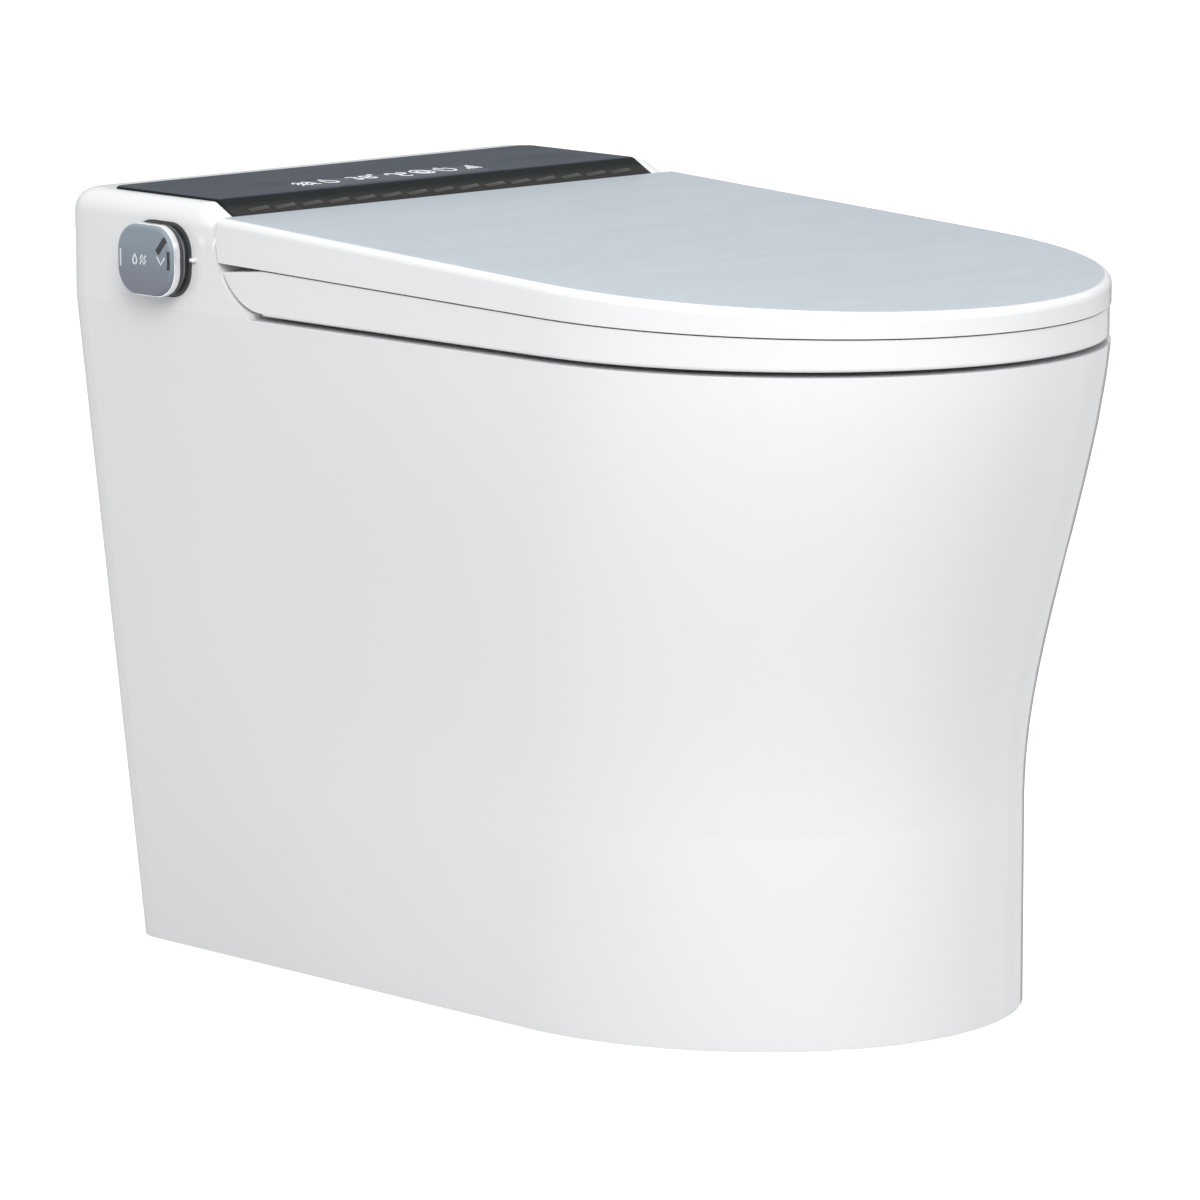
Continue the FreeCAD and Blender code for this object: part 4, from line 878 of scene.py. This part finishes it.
# painted shade: a dark stroke along the face's edge near the rim, where the edge turns away
faceEdgeShade = [([(0.0237, 0.0072), (0.0241, 0.0004), (0.0237, -0.004)], False)]
# printed pale marks given a faint glow: painted light on print
paleInkPaintedGlow = glowFinish("paleInkPaintedGlow", {"colour": (0.72, 0.78, 0.8), "glow": 0.12})
# dark ink for the printed pointer, also used for the painted shade stroke at the face's edge
darkInkAndShade = plainPlastic("darkInkAndShade", {
    "colour": (0.022, 0.027, 0.032),
    "drift": (0.03, 0.035, 0.04),
    "roughness": (0.4, 0.5),
    "specular": 0.3,
})
printed = (  # name, lines, their thickness, how flat they lie, ink
    ("knob_marks_pale", paleMarks, 0.0013, 0.2, paleInkPaintedGlow),
    ("knob_pointer", pointer, 0.0042, 0.12, darkInkAndShade),
    # painted shade in dark ink along the face's edge
    ("knob_edge_shade", faceEdgeShade, 0.0024, 0.6, darkInkAndShade),
)
for name, marks, thickness, flatness, finish in printed:
    form = strokesForm(marks, thickness)
    bmesh.ops.scale(form, vec=(1.0, 1.0, flatness), verts=form.verts[:])
    bmesh.ops.transform(form, matrix=knobPlane, verts=form.verts[:])
    addPiece(name, form, "knob_pushing", finish)

print("adding the index pip beside the knob")
pip = {"size": (0.0034, 0.004, 0.0026), "place": (-0.1967, 0.1376, 0.4445)}
form = bmesh.new()
addBar(form, Vector(pip["size"]), Matrix.Identity(3), Vector(pip["place"]))
addPiece("knob_index", form, "pan", finishes["white_plastic"])

print("drawing the display")
display = {
    "middle": (-0.0125, 0.164),
    "level": 0.48104,
    "pitch": 0.0198,
    "stroke": 0.0018,
    "flatness": 0.22,
    "iconSize": (3.1, 4.2),
    "digits": "38",
    "digitPlace": 2.45,  # counted in icons from the first
    "digitHeight": 0.021,
    "digitThickness": 0.00008,
    "degreePlace": 2.95,
    "degree": (0.0035, 0.009),  # to the right of that place, and up
    "degreeRadius": 0.0016,
    "light": {"colour": (0.8, 0.83, 0.86), "glow": 0.22},
}
displayGlow = glowFinish("displayGlow", display["light"])


def fanIcon():
    strokes = [(ring((0.0, 0.0), 0.0006, steps=8), True)]
    blade = ring((0.0012, 0.0009), 0.0011, -140.0, 220.0, 8)
    for angle in (math.radians(120 * i) for i in range(3)):
        across, up = math.cos(angle), math.sin(angle)
        strokes.append(([(x * across - y * up, x * up + y * across) for x, y in blade], False))
    return strokes


def waveLine(y):
    wave = 0.0006
    return [(-0.0024 + 0.0012 * i, y + (wave if i % 2 else -wave)) for i in range(5)]


def levelBar(i):
    x = 0.0011 * i - 0.0016
    return [(x, -0.0018), (x, -0.0012 + 0.0011 * i)]


icons = [
    [(waveLine(y), False) for y in (-0.0012, 0.0, 0.0012)],
    [(dropIcon, True)],
    None,  # the digits stand here
    None,
    fanIcon(),
    [(ring((0.0, 0.0), 0.0022), True), (ring((0.0, -0.0002), 0.0012), True)],  # seat
    [(ring((0.0, 0.0), 0.002, 125.0, 290.0), False), ([(0.0, 0.0004), (0.0, 0.0026)], False)],
    [(levelBar(i), False) for i in range(4)],
]


def iconShift(place):  # from the display's middle to a place counted in icons
    return (place - (len(icons) - 1) / 2) * display["pitch"]


strokes = []
wide, tall = display["iconSize"]
for index, icon in enumerate(icons):
    for points, closed in icon or []:
        strokes.append(([(iconShift(index) + x * wide, y * tall) for x, y in points], closed))
degreeCentre = (iconShift(display["degreePlace"]) + display["degree"][0], display["degree"][1])
strokes.append((ring(degreeCentre, display["degreeRadius"], steps=12), True))
form = strokesForm(strokes, display["stroke"])
bmesh.ops.scale(form, vec=(1.0, 1.0, display["flatness"]), verts=form.verts[:])
bmesh.ops.translate(form, vec=(*display["middle"], display["level"]), verts=form.verts[:])
addPiece("display_icons", form, "pan", displayGlow)

letters = bpy.data.curves.new("digits", "FONT")
letters.body = display["digits"]
letters.size = display["digitHeight"]
letters.extrude = display["digitThickness"]
letters.align_x = "CENTER"
letters.align_y = "CENTER"
form = formFrom(letters)
digitX = display["middle"][0] + iconShift(display["digitPlace"])
digitCentre = (digitX, display["middle"][1], display["level"])
bmesh.ops.translate(form, vec=digitCentre, verts=form.verts[:])
addPiece("display_digits", form, "pan", displayGlow)


# studio

print("setting up the studio")
studio = {
    "floorSize": 14.0,
    "floorLevel": -0.0005,
    "floorColour": (0.8, 0.8, 0.8),
    "floorDrift": (0.78, 0.78, 0.78),
    "bounce": (0.45, 0.45, 0.455),  # how pale the floor is to the light that it throws back
    "whiteness": 0.72,  # light that the floor shows the camera beside what falls on it
    "ambient": 0.6,
    "lampAim": (0.0, -0.08, 0.2),
}


def seenDirectly(tree):  # 1 for the camera, and for reflections and glass that show the background
    path = addNode(tree, "ShaderNodeLightPath")
    seen = path.outputs["Is Camera Ray"]
    for other in ("Is Glossy Ray", "Is Transmission Ray"):
        pair = {0: seen, 1: path.outputs[other]}
        seen = addNode(tree, "ShaderNodeMath", pair, operation="MAXIMUM")
    return seen


world = bpy.data.worlds.new("studio")
bpy.context.scene.world = world
world.use_nodes = True
sky = world.node_tree
backdrop = sky.nodes["Background"]
strength = remap(sky, seenDirectly(sky), target=(studio["ambient"], 1.0))
backdrop.inputs["Color"].default_value = (1.0, 1.0, 1.0, 1.0)
feed(sky, backdrop.inputs["Strength"], strength)

form = bmesh.new()
bmesh.ops.create_grid(form, x_segments=1, y_segments=1, size=studio["floorSize"] / 2)
floorMesh = bpy.data.meshes.new("studio_floor")
form.to_mesh(floorMesh)
form.free()
floor = bpy.data.objects.new("studio_floor", floorMesh)
floor.location = (0.0, 0.0, studio["floorLevel"])
bpy.context.scene.collection.objects.link(floor)
floorMaterial, tree, shader, place = newMaterial("studioFloor")
cloud = noise(tree, place.outputs["Object"], 1.5)
paleFloor = mixColours(tree, cloud, studio["floorColour"], studio["floorDrift"])
floorColour = mixColours(tree, seenDirectly(tree), studio["bounce"], paleFloor)
feed(tree, shader.inputs["Base Color"], floorColour)
shader.inputs["Roughness"].default_value = 0.9
shader.inputs["Specular IOR Level"].default_value = 0.1
whiteLight = {"Color": (1.0, 1.0, 1.0), "Strength": studio["whiteness"]}
glow = addNode(tree, "ShaderNodeEmission", whiteLight)
lifted = addNode(tree, "ShaderNodeAddShader", {0: shader, 1: glow})
pick = addNode(tree, "ShaderNodeMixShader", {0: seenDirectly(tree), 1: shader, 2: lifted})
tree.links.new(pick.outputs[0], tree.nodes["Material Output"].inputs["Surface"])
floorMesh.materials.append(floorMaterial)

lamps = [
    {"name": "key", "place": (-2.2, -2.4, 2.2), "size": (1.6, 1.6), "power": 43.0},
    {"name": "front", "place": (1.3, -3.2, 1.5), "size": (0.9, 2.2), "power": 14.0},
    {"name": "near", "place": (-1.1, -0.9, 1.5), "size": (0.9, 0.9), "power": 8.5},
    {"name": "top", "place": (0.0, -0.2, 3.2), "size": (2.4, 2.4), "power": 12.0},
]
for settings in lamps:
    light = bpy.data.lights.new(settings["name"], "AREA")
    light.shape = "RECTANGLE"
    light.size, light.size_y = settings["size"]
    light.energy = settings["power"]
    lamp = bpy.data.objects.new(settings["name"], light)
    lamp.location = settings["place"]
    beam = Vector(studio["lampAim"]) - lamp.location
    lamp.rotation_euler = beam.to_track_quat("-Z", "Y").to_euler()
    bpy.context.scene.collection.objects.link(lamp)

print("placing the camera")
camera = {
    "azimuth": -43.7132,
    "elevation": 9.5185,
    "lens": 232.052,
    "sensor": 36.0,
    "distance": 4.7835,
    "target": (0.0, -0.0905, 0.2369),
    "aside": -0.0478,  # the object stands a little right of the middle of the picture
}
side, rise = math.radians(camera["azimuth"]), math.radians(camera["elevation"])
away = math.cos(rise)
back = Vector((math.sin(side) * away, -math.cos(side) * away, math.sin(rise)))
right = Vector((math.cos(side), math.sin(side), 0.0))
target = Vector(camera["target"])
viewCamera = bpy.data.objects.new("camera", bpy.data.cameras.new("camera"))
viewCamera.data.lens = camera["lens"]
viewCamera.data.sensor_width = camera["sensor"]
viewCamera.location = target + back * camera["distance"]
aim = target + right * camera["aside"] - viewCamera.location
viewCamera.rotation_euler = aim.to_track_quat("-Z", "Y").to_euler()
bpy.context.scene.collection.objects.link(viewCamera)
bpy.context.scene.camera = viewCamera
bpy.context.scene.view_settings.view_transform = "Standard"
